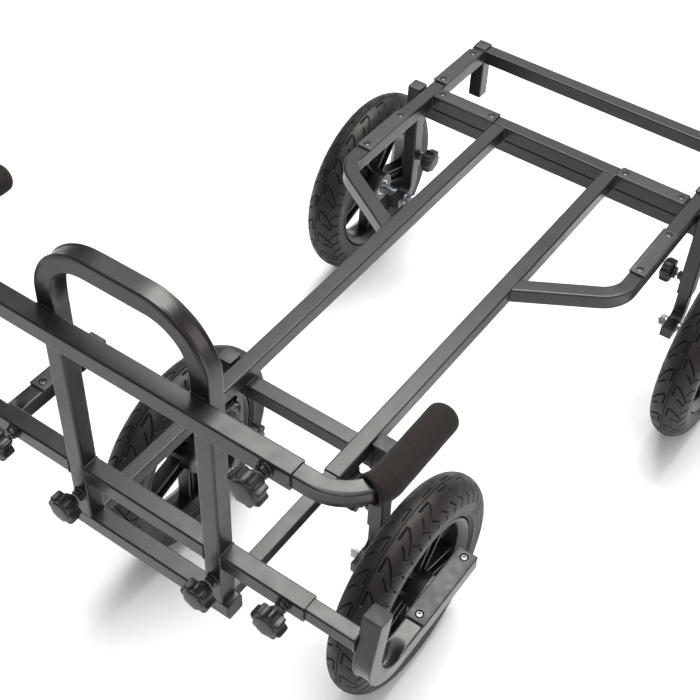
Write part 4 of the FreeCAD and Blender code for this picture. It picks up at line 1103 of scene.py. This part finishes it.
def bearing_meshes():
    """The metal rings of a hub's two bearings, and the rubber seals between them."""
    hub_half = extent("rim_front_left").x / 2
    metal, rubber = [], []
    for side in (-1, 1):
        deep, face, seat = hub_half - BEARING, hub_half - 0.6 * MM, hub_half - 2.0 * MM
        race = [(5.1, deep), (12.9, deep), (12.9, face), (11.0, face), (10.8, seat), (7.2, seat),
                (7.0, face), (5.1, face)]
        seal = [(7.2, seat - 0.1 * MM), (10.8, seat - 0.1 * MM), (10.8, face - 0.5 * MM),
                (9.8, face - 0.2 * MM), (8.2, face - 0.2 * MM), (7.2, face - 0.5 * MM)]
        for profile, parts in ((race, metal), (seal, rubber)):
            parts.append(to_x_axis(lathe([(r * MM, side * z) for r, z in profile], 64)))
    return mesh_of("bearings", *join(metal)), mesh_of("seals", *join(rubber))


def wheels():
    tyre = tyre_mesh()
    rim = rim_mesh()
    bearings, seals = bearing_meshes()
    tyre.materials.append(RUBBER)
    rim.materials.append(RIM_PLASTIC)
    bearings.materials.append(ZINC)
    seals.materials.append(RUBBER)
    for corner in CORNERS:
        at = middle(f"tyre_{corner}")
        body = f"wheel_{corner}"
        rows = (("tyre", tyre, "tyre", "tyre"), ("rim", rim, "rim_plastic", "rim"),
                ("bearings", bearings, "zinc", "rim"), ("seals", seals, "inner_rubber", "rim"))
        for kind, mesh, slot, node in rows:
            item = add_object(f"{kind}_{corner}", mesh, 30)
            item.location = at
            settle(item, None, body, slot, f"{node}_{corner}")
            if kind == "rim":
                bevel(item, 0.9 * MM)


# ---------------------------- CAD nodes that stay

def dress_cad_nodes():
    """Gives every CAD node the material of its slot, also those that a piece stands for."""
    finishes = {"black_tube": PAINT, "black_plastic": CAP_PLASTIC, "black_screw": SCREW, "foam": FOAM,
                "zinc": ZINC, "tyre": RUBBER, "inner_rubber": RUBBER, "rim_plastic": RIM_PLASTIC,
                "knob_plastic": KNOB_PLASTIC}
    slots = {part["node"]: part["material_slot"] for part in frame["record"]["subparts"]}
    for name, item in frame["nodes"].items():
        material = finishes[slots[name]]
        if not item.material_slots:
            item.data.materials.append(material)
        for place in item.material_slots:
            place.material = material


# ---------------------------- floor, light and camera

def floor():
    size = 30
    pale = grey(0.96)
    points = [(-size, -size, 0), (size, -size, 0), (size, size, 0), (-size, size, 0)]
    item = add_object("floor", mesh_of("floor", points, [(0, 1, 2, 3)]))
    material, tree, shader = new_material("floor", pale, 0.85)
    vary_colour(tree, shader, pale, 0.6, 0.01)
    shader.inputs["Specular IOR Level"].default_value = 0.1
    item.data.materials.append(material)


def area_light(name, at, target, size, power, colour=(1, 1, 1)):
    """A rectangular light of `power` watts that faces `target`."""
    data = bpy.data.lights.new(name, "AREA")
    data.shape = "RECTANGLE"
    data.size, data.size_y = size
    data.energy = power
    data.color = colour
    item = bpy.data.objects.new(name, data)
    item.location = at
    item.rotation_euler = (Vector(target) - Vector(at)).to_track_quat("-Z", "Y").to_euler()
    bpy.context.collection.objects.link(item)


def lights():
    world = bpy.data.worlds.new("studio")
    world.use_nodes = True
    background = world.node_tree.nodes["Background"]
    background.inputs["Color"].default_value = (1.0, 0.985, 0.975, 1)
    background.inputs["Strength"].default_value = 0.20
    bpy.context.scene.world = world
    sun = bpy.data.lights.new("overhead", "SUN")
    sun.energy = 1.35
    sun.angle = math.radians(44)
    overhead = bpy.data.objects.new("overhead", sun)
    bpy.context.collection.objects.link(overhead)
    area_light("top_box", (-0.35, 1.2, 3.0), (-0.35, 1.1, 0), (1.9, 1.6), 116, (0.985, 1.0, 0.98))
    area_light("back_box", (-1.3, 2.9, 2.1), (-0.1, 0.4, 0.35), (2.6, 1.3), 14)
    area_light("front_box", (1.5, -2.0, 2.8), (0.1, -0.1, 0), (2.5, 2.5), 24, (1.0, 0.93, 0.935))
    area_light("right_box", (2.4, 0.9, 1.7), (0, -0.2, 0.4), (1.2, 1.2), 17, (1.0, 0.93, 0.935))


VIEW_AZIMUTH = 33.3
VIEW_ELEVATION = 46.4
VIEW_ROLL = 2.8
VIEW_DISTANCE = 1.7156
VIEW_TARGET = Vector((-0.0356, -0.0753, 0.3))
VIEW_LENS = 66.93


def camera():
    """Looks at VIEW_TARGET from the front right and above, rolled a little."""
    azimuth, elevation, roll = (math.radians(a) for a in (VIEW_AZIMUTH, VIEW_ELEVATION, VIEW_ROLL))
    back = Vector((math.sin(azimuth) * math.cos(elevation), -math.cos(azimuth) * math.cos(elevation),
                   math.sin(elevation)))
    across = Vector((math.cos(azimuth), math.sin(azimuth), 0))
    upward = back.cross(across)
    right = across * math.cos(roll) + upward * math.sin(roll)
    top = -across * math.sin(roll) + upward * math.cos(roll)
    data = bpy.data.cameras.new("camera")
    data.lens = VIEW_LENS
    data.sensor_width = 36
    data.clip_end = 100
    item = bpy.data.objects.new("camera", data)
    turn = Matrix((right, top, back)).transposed().to_4x4()
    item.matrix_world = Matrix.Translation(VIEW_TARGET + back * VIEW_DISTANCE) @ turn
    bpy.context.collection.objects.link(item)
    bpy.context.scene.camera = item


camera()
floor()
lights()
bpy.context.scene.view_settings.view_transform = "Standard"
dress_cad_nodes()
hoop()
side_rails()
foam_arms()
side_arms()
platform()
all_caps()
bosses()
knobs()
wheels()
frame_welds()
hoop_welds()
slide_welds()
